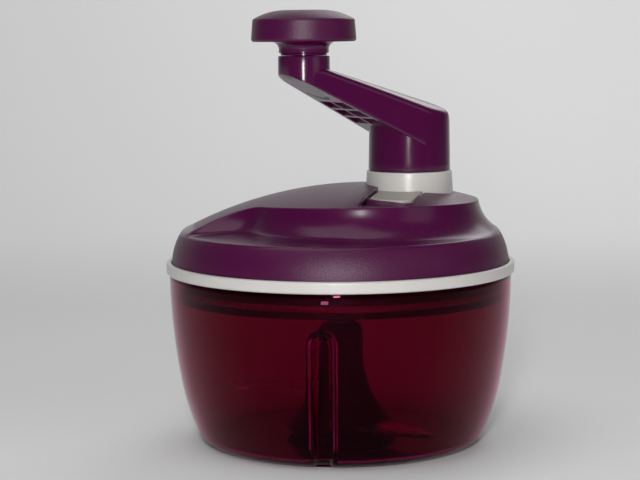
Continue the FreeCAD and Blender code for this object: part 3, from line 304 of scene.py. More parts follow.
def maths(tree, operation, a, b, clamp=False):
    """A Math node of two values, each a socket or a number."""
    node = add_node(tree, "Math", operation=operation, use_clamp=clamp)
    for socket, value in zip(node.inputs, (a, b)):
        feed(tree, socket, value)
    return node.outputs[0]


def product(tree, first, *others):
    """Values multiplied together, each a socket or a number."""
    for other in others:
        first = maths(tree, "MULTIPLY", first, other)
    return first


def ramp(tree, value, low, high, out_low=0.0, out_high=1.0):
    """Maps a value from one span to another, clamped."""
    node = add_node(tree, "MapRange", Value=value, From_Min=low, From_Max=high)
    fill(tree, node, To_Min=out_low, To_Max=out_high)
    return node.outputs["Result"]


def mix_colour(tree, share, a, b, blend="MIX"):
    """A colour mixed from two, each a socket or a colour."""
    node = add_node(tree, "Mix", data_type="RGBA", blend_type=blend)
    for index, value in ((0, share), (6, a), (7, b)):
        feed(tree, node.inputs[index], value)
    return node.outputs[2]


def grey(tree, value):
    """A grey of one value."""
    return add_node(tree, "CombineColor", Red=value, Green=value, Blue=value).outputs["Color"]


def noise(tree, vector, scale, detail, rough):
    """Smooth noise at a place, as a value."""
    node = add_node(tree, "TexNoise", Vector=vector, Scale=scale, Detail=detail, Roughness=rough)
    return node.outputs["Fac"]


def object_place(tree):
    """The place on the piece, in metres."""
    return add_node(tree, "TexCoord").outputs["Object"]


def stretched(tree, place, **mapping):
    """A place scaled and turned by a Mapping node."""
    return add_node(tree, "Mapping", Vector=place, **mapping).outputs["Vector"]


def upward_share(tree, vector):
    """The upward part of a vector."""
    return add_node(tree, "SeparateXYZ", Vector=vector).outputs["Z"]


def surface(tree, output):
    """A value of the surface itself, such as its normal or its pointiness."""
    return add_node(tree, "NewGeometry").outputs[output]


def spark_texture_group():
    """Fine moulded texture: cells and grain of about half a millimetre, as a normal and a fleck mask."""
    group, start, end = new_group(
        "moulded_texture",
        (("Scale", "f", 1800.0), ("Strength", "f", 0.2), ("Calm", "f", 0.0)),
        (("Normal", "v"), ("Fleck", "f")),
    )
    place = object_place(group)
    scale = start.outputs["Scale"]
    grain = noise(group, place, scale, 4.0, 0.65)
    cells = add_node(group, "TexVoronoi", feature="F1", Vector=place, Scale=product(group, scale, 0.8))
    height = maths(group, "ADD", grain, product(group, cells.outputs["Distance"], 0.5))
    height = product(group, height, maths(group, "SUBTRACT", 1.0, start.outputs["Calm"]))
    bump = add_node(group, "Bump", Height=height, Strength=start.outputs["Strength"], Distance=0.0004)
    fill(group, end, Normal=bump.outputs["Normal"], Fleck=ramp(group, grain, 0.35, 0.7))
    return group


def wear_group():
    """Handled plastic: a broad cloudy tone, fine hairline scratches, and lighter convex edges."""
    group, start, end = new_group(
        "handled_plastic",
        (("Color", "c", (0.2, 0.02, 0.15, 1.0)), ("Tone", "f", 0.08), ("Roughness", "f", 0.3),
         ("Scratches", "f", 0.1), ("Edge", "f", 0.15)),
        (("Color", "c"), ("Roughness", "f"), ("Height", "f")),
    )
    place = object_place(group)
    cloud = noise(group, place, 22.0, 4.0, 0.55)
    tone = ramp(group, cloud, 0.3, 0.7, maths(group, "SUBTRACT", 1.0, start.outputs["Tone"]), 1.0)
    toned = mix_colour(group, 1.0, start.outputs["Color"], grey(group, tone), "MULTIPLY")
    streaks = stretched(group, place, Rotation=(0.4, 0.9, 0.3), Scale=(900.0, 25.0, 40.0))
    hair = noise(group, streaks, 1.0, 2.0, 0.5)
    patch = ramp(group, noise(group, place, 60.0, 2.0, 0.5), 0.45, 0.65)
    scratch = product(group, ramp(group, hair, 0.62, 0.72), patch, start.outputs["Scratches"])
    crest = product(group, ramp(group, surface(group, "Pointiness"), 0.52, 0.62), start.outputs["Edge"])
    worn = mix_colour(group, 0.35, toned, (0.9, 0.85, 0.9, 1.0))
    colour = mix_colour(group, crest, toned, worn)
    rough = maths(group, "ADD", start.outputs["Roughness"], scratch)
    cloudy = product(group, maths(group, "SUBTRACT", cloud, 0.5), 0.06)
    rough = maths(group, "ADD", rough, cloudy, clamp=True)
    fill(group, end, Color=colour, Roughness=rough, Height=scratch)
    return group


def dust_group():
    """A thin film of dust on faces that look up, broken by noise, as a mask."""
    group, start, end = new_group("settled_dust", (("Amount", "f", 0.05),), (("Mask", "f"),))
    upward = ramp(group, upward_share(group, surface(group, "Normal")), 0.3, 1.0)
    broken = ramp(group, noise(group, object_place(group), 350.0, 5.0, 0.7), 0.4, 0.8)
    fill(group, end, Mask=product(group, upward, broken, start.outputs["Amount"]))
    return group


def polished_band_group():
    """The part of the cover that its mould left polished, as a mask: the hollowed flank, which leans, and
    the ledge, which lies low; the domed top and the skirt below are left out."""
    group, start, end = new_group(
        "polished_band", (("Bottom", "f", 0.1085), ("Ledge", "f", 0.1128)), (("Mask", "f"),))
    height = upward_share(group, object_place(group))
    leaning = ramp(group, upward_share(group, surface(group, "Normal")), 0.84, 0.92, 1.0, 0.0)
    above = maths(group, "SUBTRACT", height, start.outputs["Ledge"])
    low = ramp(group, above, 0.0, 0.001, 1.0, 0.0)
    over = ramp(group, maths(group, "SUBTRACT", height, start.outputs["Bottom"]), 0.0, 0.001)
    fill(group, end, Mask=product(group, maths(group, "MAXIMUM", leaning, low), over))
    return group


def turned_metal_group():
    """Fine tool marks, as a height, and a soft blotch for the roughness of ground or turned steel."""
    group, start, end = new_group(
        "turned_metal",
        (("Lines", "f", 3000.0), ("Roughness", "f", 0.3)),
        (("Height", "f"), ("Roughness", "f")),
    )
    place = object_place(group)
    lines = noise(group, stretched(group, place, Scale=(0.04, 0.04, 1.0)), start.outputs["Lines"], 2.0, 0.6)
    blotch = product(group, noise(group, place, 90.0, 3.0, 0.5), 0.15)
    fill(group, end, Height=lines, Roughness=maths(group, "ADD", start.outputs["Roughness"], blotch))
    return group


# Finishes

DUST_COLOUR = (0.62, 0.58, 0.6, 1.0)
FINE_BUMP = 0.0001


def new_material(name):
    """A material with its tree and its Principled shader."""
    material = bpy.data.materials.new(name)
    material.use_nodes = True
    return material, material.node_tree, material.node_tree.nodes["Principled BSDF"]


def use_group(tree, group, **values):
    """A node that uses a group, with its inputs fed by name."""
    node = add_node(tree, "Group", node_tree=group)
    fill(tree, node, **values)
    return node


def worn_look(tree, groups, colour, **values):
    """The colour, roughness and height of handled plastic."""
    return use_group(tree, groups["handled"], Color=(*colour, 1.0), **values).outputs


def moulded_plastic(name, groups, colour, roughness, texture=0.0, texture_scale=1800.0, scratches=0.08,
                    edge=0.04, tone=0.08, dust=0.02, sparkle=0.0, polished=None, shine=0.5):
    """Solid moulded plastic with handling marks, and a fine texture where the mould has one."""
    material, tree, shader = new_material(name)
    worn = worn_look(tree, groups, colour, Roughness=roughness, Scratches=scratches, Edge=edge, Tone=tone)
    film = use_group(tree, groups["dust"], Amount=dust).outputs["Mask"]
    dusty = mix_colour(tree, film, worn["Color"], DUST_COLOUR)
    rough = maths(tree, "ADD", worn["Roughness"], film, clamp=True)
    grain = use_group(tree, groups["texture"], Scale=texture_scale, Strength=texture)
    if sparkle:
        rough = maths(tree, "SUBTRACT", rough, product(tree, grain.outputs["Fleck"], sparkle), clamp=True)
    if polished is not None:
        band = use_group(tree, groups["band"]).outputs["Mask"]
        fill(tree, grain, Calm=band)
        rough = ramp(tree, band, 0.0, 1.0, rough, polished)
    bump = add_node(tree, "Bump", Height=worn["Height"], Normal=grain.outputs["Normal"], Strength=0.25,
                    Distance=FINE_BUMP)
    fill(tree, shader, Base_Color=dusty, Roughness=rough, Normal=bump.outputs["Normal"],
         Specular_IOR_Level=shine, IOR=1.5)
    return material


def clear_plastic(name, groups, colour, roughness):
    """See-through tinted plastic: a clear wall with faint clouding and scratches from use."""
    material, tree, shader = new_material(name)
    worn = worn_look(tree, groups, colour, Roughness=roughness, Scratches=0.12, Edge=0.0, Tone=0.05)
    fill(tree, shader, Base_Color=worn["Color"], Roughness=worn["Roughness"], Transmission_Weight=1.0,
         Specular_Tint=(0.55, 0.12, 0.25, 1.0), IOR=1.3)
    return material


def ground_metal(name, groups, colour, roughness, lines=3000.0, strength=0.15):
    """Turned or ground metal with tool marks and a soft blotch in its gloss."""
    material, tree, shader = new_material(name)
    marks = use_group(tree, groups["metal"], Lines=lines, Roughness=roughness).outputs
    worn = worn_look(tree, groups, colour, Scratches=0.1, Edge=0.1, Tone=0.12)
    bump = add_node(tree, "Bump", Height=marks["Height"], Strength=strength, Distance=FINE_BUMP)
    fill(tree, shader, Base_Color=worn["Color"], Roughness=marks["Roughness"],
         Normal=bump.outputs["Normal"], Metallic=1.0)
    return material


def soft_rubber(name, groups, colour):
    """Soft elastomer: matt, faintly mottled, with a fine skin texture."""
    material, tree, shader = new_material(name)
    worn = worn_look(tree, groups, colour, Roughness=0.72, Scratches=0.05, Edge=0.1, Tone=0.2)
    grain = use_group(tree, groups["texture"], Scale=2600.0, Strength=0.12)
    fill(tree, shader, Base_Color=worn["Color"], Roughness=worn["Roughness"],
         Normal=grain.outputs["Normal"], Sheen_Weight=0.1)
    return material


_finishes = {}


def finishes():
    """Every finish of the chopper, made once from the colours in the add-on's settings."""
    if _finishes:
        return _finishes
    looks = bpy.context.scene.chopper_looks
    groups = {"handled": wear_group(), "texture": spark_texture_group(), "dust": dust_group(),
              "metal": turned_metal_group(), "band": polished_band_group()}
    plum = {"colour": tuple(looks.plum), "shine": 0.35}
    satin = {**plum, "roughness": looks.satin_roughness, "texture": 0.32, "sparkle": 0.12}
    gloss = {**plum, "roughness": looks.gloss_roughness, "texture": 0.015, "texture_scale": 300.0}
    clean_face = {"dust": 0.0}
    moulded = {
        "plum_satin": satin,
        "plum_cover": {**satin, "polished": 0.24},
        "plum_gloss": {**gloss, "scratches": 0.12},
        "dark_plum": {**clean_face, "colour": tuple(looks.dark_plum), "roughness": 0.38, "texture": 0.08},
        "ivory": {"colour": tuple(looks.ivory), "roughness": 0.3, "texture": 0.04,
                  "edge": 0.02, "tone": 0.04},
        "tab_grey": {"colour": (0.40, 0.37, 0.34), "roughness": 0.36, "texture": 0.1,
                     "edge": 0.05, "tone": 0.05},
        "crimson_bump": {**clean_face, "colour": (0.25, 0.004, 0.06), "roughness": 0.2},
        "gear_white": {**clean_face, "colour": (0.76, 0.75, 0.7), "roughness": 0.42, "texture": 0.05},
        "white_print": {**clean_face, "colour": (0.8, 0.78, 0.78), "roughness": 0.5, "edge": 0.0},
    }
    for name, values in moulded.items():
        _finishes[name] = moulded_plastic(name, groups, **values)
    metals = {
        "bush_bronze": {"colour": (0.6, 0.42, 0.2), "roughness": 0.32},
        "blade_steel": {"colour": (0.62, 0.62, 0.63), "roughness": 0.2, "lines": 5000.0, "strength": 0.2},
        "shaft_steel": {"colour": (0.52, 0.52, 0.53), "roughness": 0.28},
        "screw_zinc": {"colour": (0.66, 0.65, 0.6), "roughness": 0.35},
    }
    for name, values in metals.items():
        _finishes[name] = ground_metal(name, groups, **values)
    for name, colour in (("grip_rubber", (0.05, 0.004, 0.02)), ("seal_silicone", (0.6, 0.55, 0.52))):
        _finishes[name] = soft_rubber(name, groups, colour)
    _finishes["crimson_clear"] = clear_plastic("crimson_clear", groups, tuple(looks.crimson), 0.03)
    return _finishes


def replace(piece, *nodes):
    """Hides the construction nodes that a piece stands for, and gives the piece back."""
    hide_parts(*nodes)
    return piece


def dressed(slot, body, material=None):
    """The finish arguments that most pieces share."""
    return {"slot": slot, "body": body, "material": finishes()[material or slot]}


# Settings shown in the sidebar

COLOUR = {"subtype": "COLOR", "size": 3, "min": 0.0, "max": 1.0}


class ChopperLooks(bpy.types.PropertyGroup):
    """Colours and gloss of the chopper's plastics."""
    plum: FloatVectorProperty(name="Plum", description="Lid, crank and knob",
                              default=(0.068, 0.0010, 0.042), **COLOUR)
    dark_plum: FloatVectorProperty(name="Dark plum", description="Blade post and the lid's inner half",
                                   default=(0.020, 0.001, 0.020), **COLOUR)
    crimson: FloatVectorProperty(name="Crimson", description="See-through bowl",
                                 default=(0.34, 0.0012, 0.085), **COLOUR)
    ivory: FloatVectorProperty(name="Ivory", description="Ring and collar",
                               default=(0.64, 0.615, 0.59), **COLOUR)
    satin_roughness: FloatProperty(name="Satin roughness", description="Textured skirt and knob",
                                   min=0.0, max=1.0, default=0.42)
    gloss_roughness: FloatProperty(name="Gloss roughness", description="Crank and stem",
                                   min=0.0, max=1.0, default=0.16)


class ChopperSizes(bpy.types.PropertyGroup):
    """Sizes of the visible shapes, in millimetres."""
    wall: FloatProperty(name="Bowl wall", description="Thickness of the bowl", min=1.0, max=5.0, default=2.8)
    flute_depth: FloatProperty(name="Flute depth", description="How far the front flute is pressed in",
                               min=0.0, max=6.0, default=3.0)
    crease_round: FloatProperty(name="Crease rounding", description="Softness of the crown's upper edge",
                                min=0.1, max=4.0, default=1.0)
    ledge_round: FloatProperty(name="Ledge rounding", description="Softness where flank and ledge meet",
                               min=0.1, max=6.0, default=1.6)
    turns: IntProperty(name="Turns", description="Points round each turned piece",
                       min=24, max=360, default=192)


# Bowl: its side's arcs as (radius, first lean, last lean), brim, foot, flute and measuring marks

BRIM_RADIUS = 88.4
BELLY = (321.0, 0.5, 10.5)
BELLY_LOW = (119.0, 10.5, 24.0)
BRIM_EASE, BRIM_SAG, BRIM_REST = 0.35, 0.08, 0.5
FOOT_LIFT = 0.6
FOOT_RING_WIDTH = 5.0
BOSS_RADIUS, BOSS_RISE, PIN_RADIUS = 8.5, 3.0, 4.0
FLUTE_X, FLUTE_HALF, FLUTE_TOP = -9.8, 4.75, 68.0
FLUTE_INSIDE, FLUTE_OUTSIDE = 2.2, 0.6
FLUTE_WIDER = 2.4
FLUTE_REACH = 80.0
FINE_TURN, CLEAR_TURN = 0.115, 0.12
MARKS_TURN = math.radians(2.0)
MARKS_FOOT, RISE_PER_UNIT = 14.0, 0.0475
LONG_TICK, SHORT_TICK, TICK_STEP, TICK_HEIGHT = 7.0, 3.5, 4.75, 0.45
NUMBER_SIZE, NUMBER_PLACE = 4.6, (5.0, -1.6, 0.03)
PRINT_THICK = 0.06
BRIM_TICK = (3.4, 1.6, 0.25)
BRIM_TICK_TURN, BRIM_TICK_HEIGHT = math.radians(-95.5), 84.6


def barrel_side(inset, steps=48):
    """The bowl's side as three tangent arcs, from the brim down to the foot, drawn in by an inset. Each
    point is its arc's centre plus the radius along the outward lean and down by the sine of it."""
    radius, first, last = BELLY
    turn = math.radians(first)
    centre_r = BRIM_RADIUS - radius * math.cos(turn)
    centre_z = BRIM_TOP + radius * math.sin(turn)
    points = [arc(centre_r, centre_z, radius - inset, -np.radians(np.linspace(first, last, steps)))]
    low_radius, low_first, low_last = BELLY_LOW
    turn = math.radians(low_first)
    centre_r += (radius - low_radius) * math.cos(turn)
    centre_z -= (radius - low_radius) * math.sin(turn)
    lean = np.radians(np.linspace(low_first, low_last, steps // 2)[1:])
    points.append(arc(centre_r, centre_z, low_radius - inset, -lean))
    turn = math.radians(low_last)
    low_end = centre_z - low_radius * math.sin(turn)
    corner = (low_end - FOOT_LIFT) / (1 - math.sin(turn))
    centre_r += (low_radius - corner) * math.cos(turn)
    centre_z -= (low_radius - corner) * math.sin(turn)
    lean = np.radians(np.linspace(low_last, 90.0, 12)[1:])
    points.append(arc(centre_r, centre_z, corner - inset, -lean))
    return np.concatenate(points)


def flute_share(x, z, spread):
    """1 inside the arch-topped flute and 0 outside, with a soft shoulder: the distance to a vertical
    line from the foot to the arch's centre, less the half width, goes through a smoothstep."""
    centre = FLUTE_TOP - FLUTE_HALF
    away = np.hypot(x - FLUTE_X, np.maximum(z - centre, 0.0))
    return 1.0 - smoothstep(away - spread, FLUTE_HALF - FLUTE_INSIDE, FLUTE_HALF + FLUTE_OUTSIDE)


def bowl_mesh(sizes):
    """The bowl's closed wall: outside, rounded brim, inside, floor and foot as one turned outline. The
    flute moves wall points inwards along their radius, a little wider on the inside."""
    wall = sizes.wall
    outer = barrel_side(0.0)
    inner = barrel_side(wall)
    floor = FOOT_LIFT + wall
    brim = np.array([[outer[0, 0] - BRIM_EASE, BRIM_TOP - BRIM_SAG], [outer[0, 0] - wall / 2, BRIM_TOP],
                     [inner[0, 0] + BRIM_EASE, BRIM_TOP - BRIM_SAG]])
    outer = outer[outer[:, 1] < BRIM_TOP - BRIM_REST]
    inner = inner[inner[:, 1] < BRIM_TOP - BRIM_REST]
    boss_top = floor + BOSS_RISE
    boss = rounded([(BOSS_RADIUS, floor, 0.0), (BOSS_RADIUS, floor, 0.8), (BOSS_RADIUS, boss_top, 0.6),
                    (PIN_RADIUS, boss_top, 0.2), (PIN_RADIUS, floor - 1.0, 0.0)])[2:]
    ring_outer = edge("base_ring", HIGH, "x")
    ring_inner = ring_outer - FOOT_RING_WIDTH
    groove = edge("base_ring", HIGH, "z")
    under = np.array([[0.0, FOOT_LIFT], [ring_inner - 0.3, FOOT_LIFT], [ring_inner, FOOT_LIFT + 0.3],
                      [ring_inner, groove], [ring_outer, groove], [ring_outer, FOOT_LIFT + 0.3],
                      [ring_outer + 0.3, FOOT_LIFT]])
    under = subdivide(under, 8.0, closed=False)
    floor_line = subdivide(np.array([inner[-1], [BOSS_RADIUS + 1.0, floor]]), 6.0, closed=False)[1:]
    outline = np.concatenate([under, outer[::-1], brim, inner, floor_line, boss, [[0.0, floor - 1.0]]])
    first_inner = len(under) + len(outer) + len(brim)
    spots = np.linspace(0.0, 2 * math.pi, sizes.turns, endpoint=False)
    centre = math.asin(FLUTE_X / FLUTE_REACH) - math.pi / 2
    fine = centre + np.linspace(-FINE_TURN, FINE_TURN, 61)
    spots = spots[np.abs((spots - centre + math.pi) % (2 * math.pi) - math.pi) > CLEAR_TURN]
    spots = np.sort(np.concatenate([spots, fine % (2 * math.pi)]))
    radius = np.broadcast_to(outline[:, 0], (len(spots), len(outline))).copy()
    height = np.broadcast_to(outline[:, 1], radius.shape)
    angle = np.broadcast_to(spots[:, None], radius.shape)
    x = radius * np.cos(angle)
    y = radius * np.sin(angle)
    column = np.arange(len(outline))
    inside = (column >= first_inner)[None, :]
    wide = np.where(inside, FLUTE_WIDER, 0.0)
    side = (y < 0) & (radius > 60.0) & (height < BRIM_TOP - 4)
    ring_zone = (column < len(under))[None, :]
    share = flute_share(x, height, wide) * side * ~ring_zone
    radius = radius - sizes.flute_depth * share
    points = np.stack([radius * np.cos(angle), radius * np.sin(angle), height], axis=-1)
    return grid_mesh("bowl_shell", points, wrap_u=True, smooth=40.0, **dressed("crimson_clear", "bowl"))


class ChopperBowl(bpy.types.Operator):
    """The clear bowl with its flute, its soft foot ring and its measuring marks"""
    bl_idname = "chopper.bowl"
    bl_label = "Bowl"

    def execute(self, context):
        sizes = context.scene.chopper_sizes
        replace(bowl_mesh(sizes), "bowl")
        outer = edge("base_ring", HIGH, "x")
        top = edge("base_ring", HIGH, "z")
        inner = outer - FOOT_RING_WIDTH
        outline = rounded([(inner, 0.0, 0.5), (outer, 0.0, 0.6), (outer, top, 0.15), (inner, top, 0.15)])
        ring = lathe("foot_grip", outline, turns=sizes.turns, **dressed("grip_rubber", "bowl"))
        replace(ring, "base_ring")
        measuring_marks()
        return {"FINISHED"}


def wrapped_patch(name, vertices, faces, azimuth, height, material="white_print"):
    """Bends a flat mesh, drawn in millimetres with x along the wall and y up it, round the bowl's side:
    the angle is x over the radius, and the point stands just off the wall."""
    vertices = np.asarray(vertices)
    up = height + vertices[:, 1]
    side = barrel_side(0.0)[::-1]
    radius = np.interp(up, side[:, 1], side[:, 0]) + 0.03 + vertices[:, 2]
    angle = azimuth + vertices[:, 0] / radius
    place = np.stack([radius * np.cos(angle), radius * np.sin(angle), up], axis=-1) * MM
    face_sets = [np.asarray(face)[None] for face in faces]
    return finish_mesh(name, place, face_sets, **dressed("crimson_clear", "bowl", material))


def flat_bar(width, height, thick=PRINT_THICK):
    """A thin closed bar, centred on the origin."""
    w, h = width / 2, height / 2
    low = [(-w, -h, 0), (w, -h, 0), (w, h, 0), (-w, h, 0)]
    vertices = low + [(a, b, thick) for a, b, _ in low]
    faces = [(3, 2, 1, 0), (4, 5, 6, 7), (0, 1, 5, 4), (1, 2, 6, 5), (2, 3, 7, 6), (3, 0, 4, 7)]
    return vertices, faces


def number_mesh(text):
    """The vertices and faces of a number, drawn flat and moved beside its tick."""
    curve = bpy.data.curves.new("number", "FONT")
    curve.body = text
    curve.size = NUMBER_SIZE
    curve.extrude = PRINT_THICK / 2
    curve.align_x = "LEFT"
    written = bpy.data.objects.new("number", curve)
    bpy.context.scene.collection.objects.link(written)
    bpy.context.view_layer.update()
    mesh = bpy.data.meshes.new_from_object(written)
    bpy.data.objects.remove(written)
    vertices = np.empty(len(mesh.vertices) * 3)
    mesh.vertices.foreach_get("co", vertices)
    return vertices.reshape(-1, 3) + NUMBER_PLACE, [tuple(face.vertices) for face in mesh.polygons]


def measuring_marks():
    """Plain ticks and numbers up the right side of the bowl, and a short locating tick under the brim."""
    for level in (200, 400, 600, 800, 1000):
        height = MARKS_FOOT + level * RISE_PER_UNIT
        for step, width in ((0.0, LONG_TICK), (TICK_STEP, SHORT_TICK)):
            tick = flat_bar(width, TICK_HEIGHT)
            wrapped_patch(f"measure_tick_{level}_{int(step)}", *tick, MARKS_TURN, height + step)
        wrapped_patch(f"measure_number_{level}", *number_mesh(str(level)), MARKS_TURN, height)
    wrapped_patch("brim_tick", *flat_bar(*BRIM_TICK), BRIM_TICK_TURN, BRIM_TICK_HEIGHT, "crimson_bump")


# Blade unit

HUB_FOOT = edge("blade_hub", LOW, "z")
HUB_SHOULDER = edge("blade_hub", HIGH, "z")
HUB_TOP = edge("hub_cap", HIGH, "z")
HUB_RADIUS = edge("hub_cap", HIGH, "x")
BELL_REACH, BELL_TOP, BELL_WALL = 29.0, 50.0, 2.0
WAIST_OUT, WAIST_UP = 0.27, 0.42
CORE_RADIUS, CORE_BORE, SOCKET_LOW = 8.1, 4.05, 44.0
BLADE_ROOT, BLADE_HALF, BEVEL_WIDTH, EDGE_THICK = 7.5, 9.5, 3.4, 0.15
BLADES = (("upper_sweep", "upper_blade", 67.0, 184.0, 9.0), ("lower_sweep", "lower_blade", 66.0, -52.0, 9.0))


def bend(start, middle, end, steps):
    """Points along the circle through three points: its centre is where the bisectors of the two chords
    meet, and the points are evenly turned from the first to the last."""
    (ax, ay), (bx, by), (cx, cy) = start, middle, end
    double = 2 * (ax * (by - cy) + bx * (cy - ay) + cx * (ay - by))
    a2, b2, c2 = ax * ax + ay * ay, bx * bx + by * by, cx * cx + cy * cy
    x = (a2 * (by - cy) + b2 * (cy - ay) + c2 * (ay - by)) / double
    y = (a2 * (cx - bx) + b2 * (ax - cx) + c2 * (bx - ax)) / double
    first = math.atan2(ay - y, ax - x)
    half = (math.atan2(by - y, bx - x) - first + math.pi) % (2 * math.pi) - math.pi
    rest = (math.atan2(cy - y, cx - x) - first - half + math.pi) % (2 * math.pi) - math.pi
    turn = first + (half + rest) * np.linspace(0.0, 1.0, steps)
    return arc(x, y, math.hypot(ax - x, ay - y), turn)


def blade_mesh(name, node, reach, angle, sweep):
    """A curved blade between a back arc and an edge arc. Across it, each section is flat from the back to
    the bevel and then thins to the edge; the whole is turned about the post by its angle."""
    low, high = edge(node, LOW, "z"), edge(node, HIGH, "z")
    root, half = BLADE_ROOT, BLADE_HALF
    back = bend((root, 0.6 * half), ((root + reach) / 2, half + 0.35 * sweep), (reach, sweep), 48)
    front = bend((root, -0.6 * half), (0.62 * reach, 0.12 * sweep - half), (reach, sweep), 48)
    width = np.linalg.norm(back - front, axis=1)
    bevel = 1.0 - np.minimum(BEVEL_WIDTH / np.maximum(width, 0.1), 0.7)
    share = np.stack([0 * width, 0 * width, bevel, 1 + 0 * width, 1 + 0 * width], axis=1)[..., None]
    flat = back[:, None] * (1 - share) + front[:, None] * share
    points = raised(flat, np.array([low, high, high, low + EDGE_THICK, low]))
    first = np.broadcast_to(points[:1].mean(axis=1, keepdims=True), points[:1].shape)
    points = turned(np.concatenate([first, points]), math.radians(angle))
    blade = grid_mesh(name, points, wrap_v=True, smooth=20.0, **dressed("blade_steel", "blade"))
    replace(blade, node)


class ChopperBlades(bpy.types.Operator):
    """The blade post with its bell foot, its rounded cap and the two curved blades"""
    bl_idname = "chopper.blades"
    bl_label = "Blade unit"

    def execute(self, context):
        sizes = context.scene.chopper_sizes
        foot_x = max(edge("blade_hub", HIGH, "x"), BELL_REACH)
        inner_post = HUB_RADIUS - BELL_WALL
        inner_foot = foot_x - BELL_WALL
        waist = HUB_FOOT + WAIST_UP * (BELL_TOP - HUB_FOOT)
        outer = bend((foot_x, HUB_FOOT + 0.5), (HUB_RADIUS + WAIST_OUT * (foot_x - HUB_RADIUS), waist),
                     (HUB_RADIUS, BELL_TOP), 40)
        inner_waist = inner_post + WAIST_OUT * (inner_foot - inner_post)
        inner = bend((inner_post, BELL_TOP - 1.0), (inner_waist, waist), (inner_foot, HUB_FOOT), 30)
        core = [[HUB_RADIUS, HUB_SHOULDER - 0.3], [HUB_RADIUS - 0.3, HUB_SHOULDER],
                [CORE_BORE + 0.15, HUB_SHOULDER], [CORE_BORE, SOCKET_LOW], [CORE_BORE, HUB_FOOT],
                [CORE_RADIUS, HUB_FOOT], [CORE_RADIUS, BELL_TOP - 1.2]]
        outline = np.concatenate([outer, core, inner, [[foot_x - 0.5, HUB_FOOT]]])
        plum = {"turns": sizes.turns, **dressed("dark_plum", "blade")}
        replace(lathe("blade_post", outline, **plum), "blade_hub")
        seat = HUB_SHOULDER + 0.02
        crown = bend((HUB_RADIUS, HUB_TOP - 5.0), (0.86 * HUB_RADIUS, HUB_TOP - 1.5), (5.6, HUB_TOP), 14)
        outline = np.concatenate([[[4.3, seat], [HUB_RADIUS - 0.4, seat], [HUB_RADIUS, HUB_SHOULDER + 0.4]],
                                  crown, [[4.6, HUB_TOP], [4.3, HUB_TOP - 0.3]]])
        replace(lathe("post_cap", outline, **plum), "hub_cap")
        for blade in BLADES:
            blade_mesh(*blade)
        return {"FINISHED"}


# Lid: the cover as a height over its plan

CROWN_X, CROWN_RADIUS = 12.0, 60.0
TAIL_ROOT = (-45.0, 23.0)
TAIL_TIP = (-84.0, 16.0)
TAIL_BLEND = 22.0
SCOTIA_ARC, SCOTIA_LEAN, SCOTIA_TOP = 21.3, math.radians(14.0), 123.5
DOME_TOP, DOME_X, DOME_ARC_X, DOME_ARC_Y = 133.8, 14.0, 205.0, 250.0
SKIRT_RADIUS, SKIRT_ARC, SHOULDER, LEDGE_RISE, LEDGE_INNER = 87.2, 33.0, 110.0, 2.4, 56.0
SKIRT_CENTRE = SKIRT_RADIUS - SKIRT_ARC
SHOULDER_RADIUS = SKIRT_CENTRE + math.sqrt(SKIRT_ARC ** 2 - (SHOULDER - COVER_LOW) ** 2)
COVER_WALL = 2.4
COLLAR_RADIUS = 22.5
COLLAR_TOP_RADIUS = 21.9
COLLAR_WALL = 2.4
COLLAR_FOOT_RADIUS, COLLAR_FOOT_THICK = 30.0, 2.4
BEARING_BORE, BEARING_RADIUS, BEARING_DEPTH = 7.7, 11.0, 7.0
RING_ROUND, RING_LAP = 2.2, 3.2


def crown_distance(x, y):
    """Distance in plan out from the crown's outline, negative inside: the lesser of the distance from a
    circle and from the tail's straight side, and in the corner between them the blend radius less the
    distance from the blend's centre."""
    y = np.abs(y)
    tilt = math.atan2(TAIL_ROOT[1] - TAIL_TIP[1], TAIL_ROOT[0] - TAIL_TIP[0])
    along = np.array([math.cos(tilt), math.sin(tilt)])
    out = np.array([-math.sin(tilt), math.cos(tilt)])
    centre = np.array([CROWN_X, 0.0])
    offset = np.array(TAIL_ROOT) + out * TAIL_BLEND - centre
    shadow = offset @ along
    reach = (CROWN_RADIUS + TAIL_BLEND) ** 2 - offset @ offset
    blend = centre + offset + along * (-shadow - math.sqrt(shadow ** 2 + reach))
    to_circle = np.hypot(x - CROWN_X, y) - CROWN_RADIUS
    to_side = (x - TAIL_ROOT[0]) * out[0] + (y - TAIL_ROOT[1]) * out[1]
    to_side = np.where(x > 0.0, 1e3, to_side)
    a = -out
    b = (centre - blend) / np.linalg.norm(centre - blend)
    ux, uy = x - blend[0], y - blend[1]
    size = a[0] * b[1] - a[1] * b[0]
    share_a = (ux * b[1] - uy * b[0]) / size
    share_b = (a[0] * uy - a[1] * ux) / size
    corner = (share_a >= 0) & (share_b >= 0)
    return np.where(corner, TAIL_BLEND - np.hypot(ux, uy), np.minimum(to_circle, to_side))


def flank_height(away):
    """Height of the hollowed flank at a distance out from the crown's outline: a circle's arc at and
    beyond the outline, and a straight leaning wall inside it."""
    centre_away = SCOTIA_ARC * math.cos(SCOTIA_LEAN)
    centre_height = SCOTIA_TOP + SCOTIA_ARC * math.sin(SCOTIA_LEAN)
    short = np.clip(centre_away - away, 0.0, centre_away)
    hollow = centre_height - np.sqrt(SCOTIA_ARC ** 2 - short ** 2)
    return np.where(away < 0, SCOTIA_TOP - away / math.tan(SCOTIA_LEAN), hollow)


def dome_height(x, y):
    """Height of the domed top: a long arc along X, turned about a low axis along X."""
    low = DOME_TOP - DOME_ARC_Y
    reach = DOME_TOP - DOME_ARC_X + np.sqrt(DOME_ARC_X ** 2 - (x - DOME_X) ** 2) - low
    return low + np.sqrt(reach ** 2 - y ** 2)


def ledge_height(x, y, inset=0.0):
    """Height of the ledge, which rises a little from the shoulder inwards."""
    inwards = (SHOULDER_RADIUS - np.hypot(x, y)) / (SHOULDER_RADIUS - LEDGE_INNER)
    return SHOULDER - inset + LEDGE_RISE * np.clip(inwards, 0, 1)


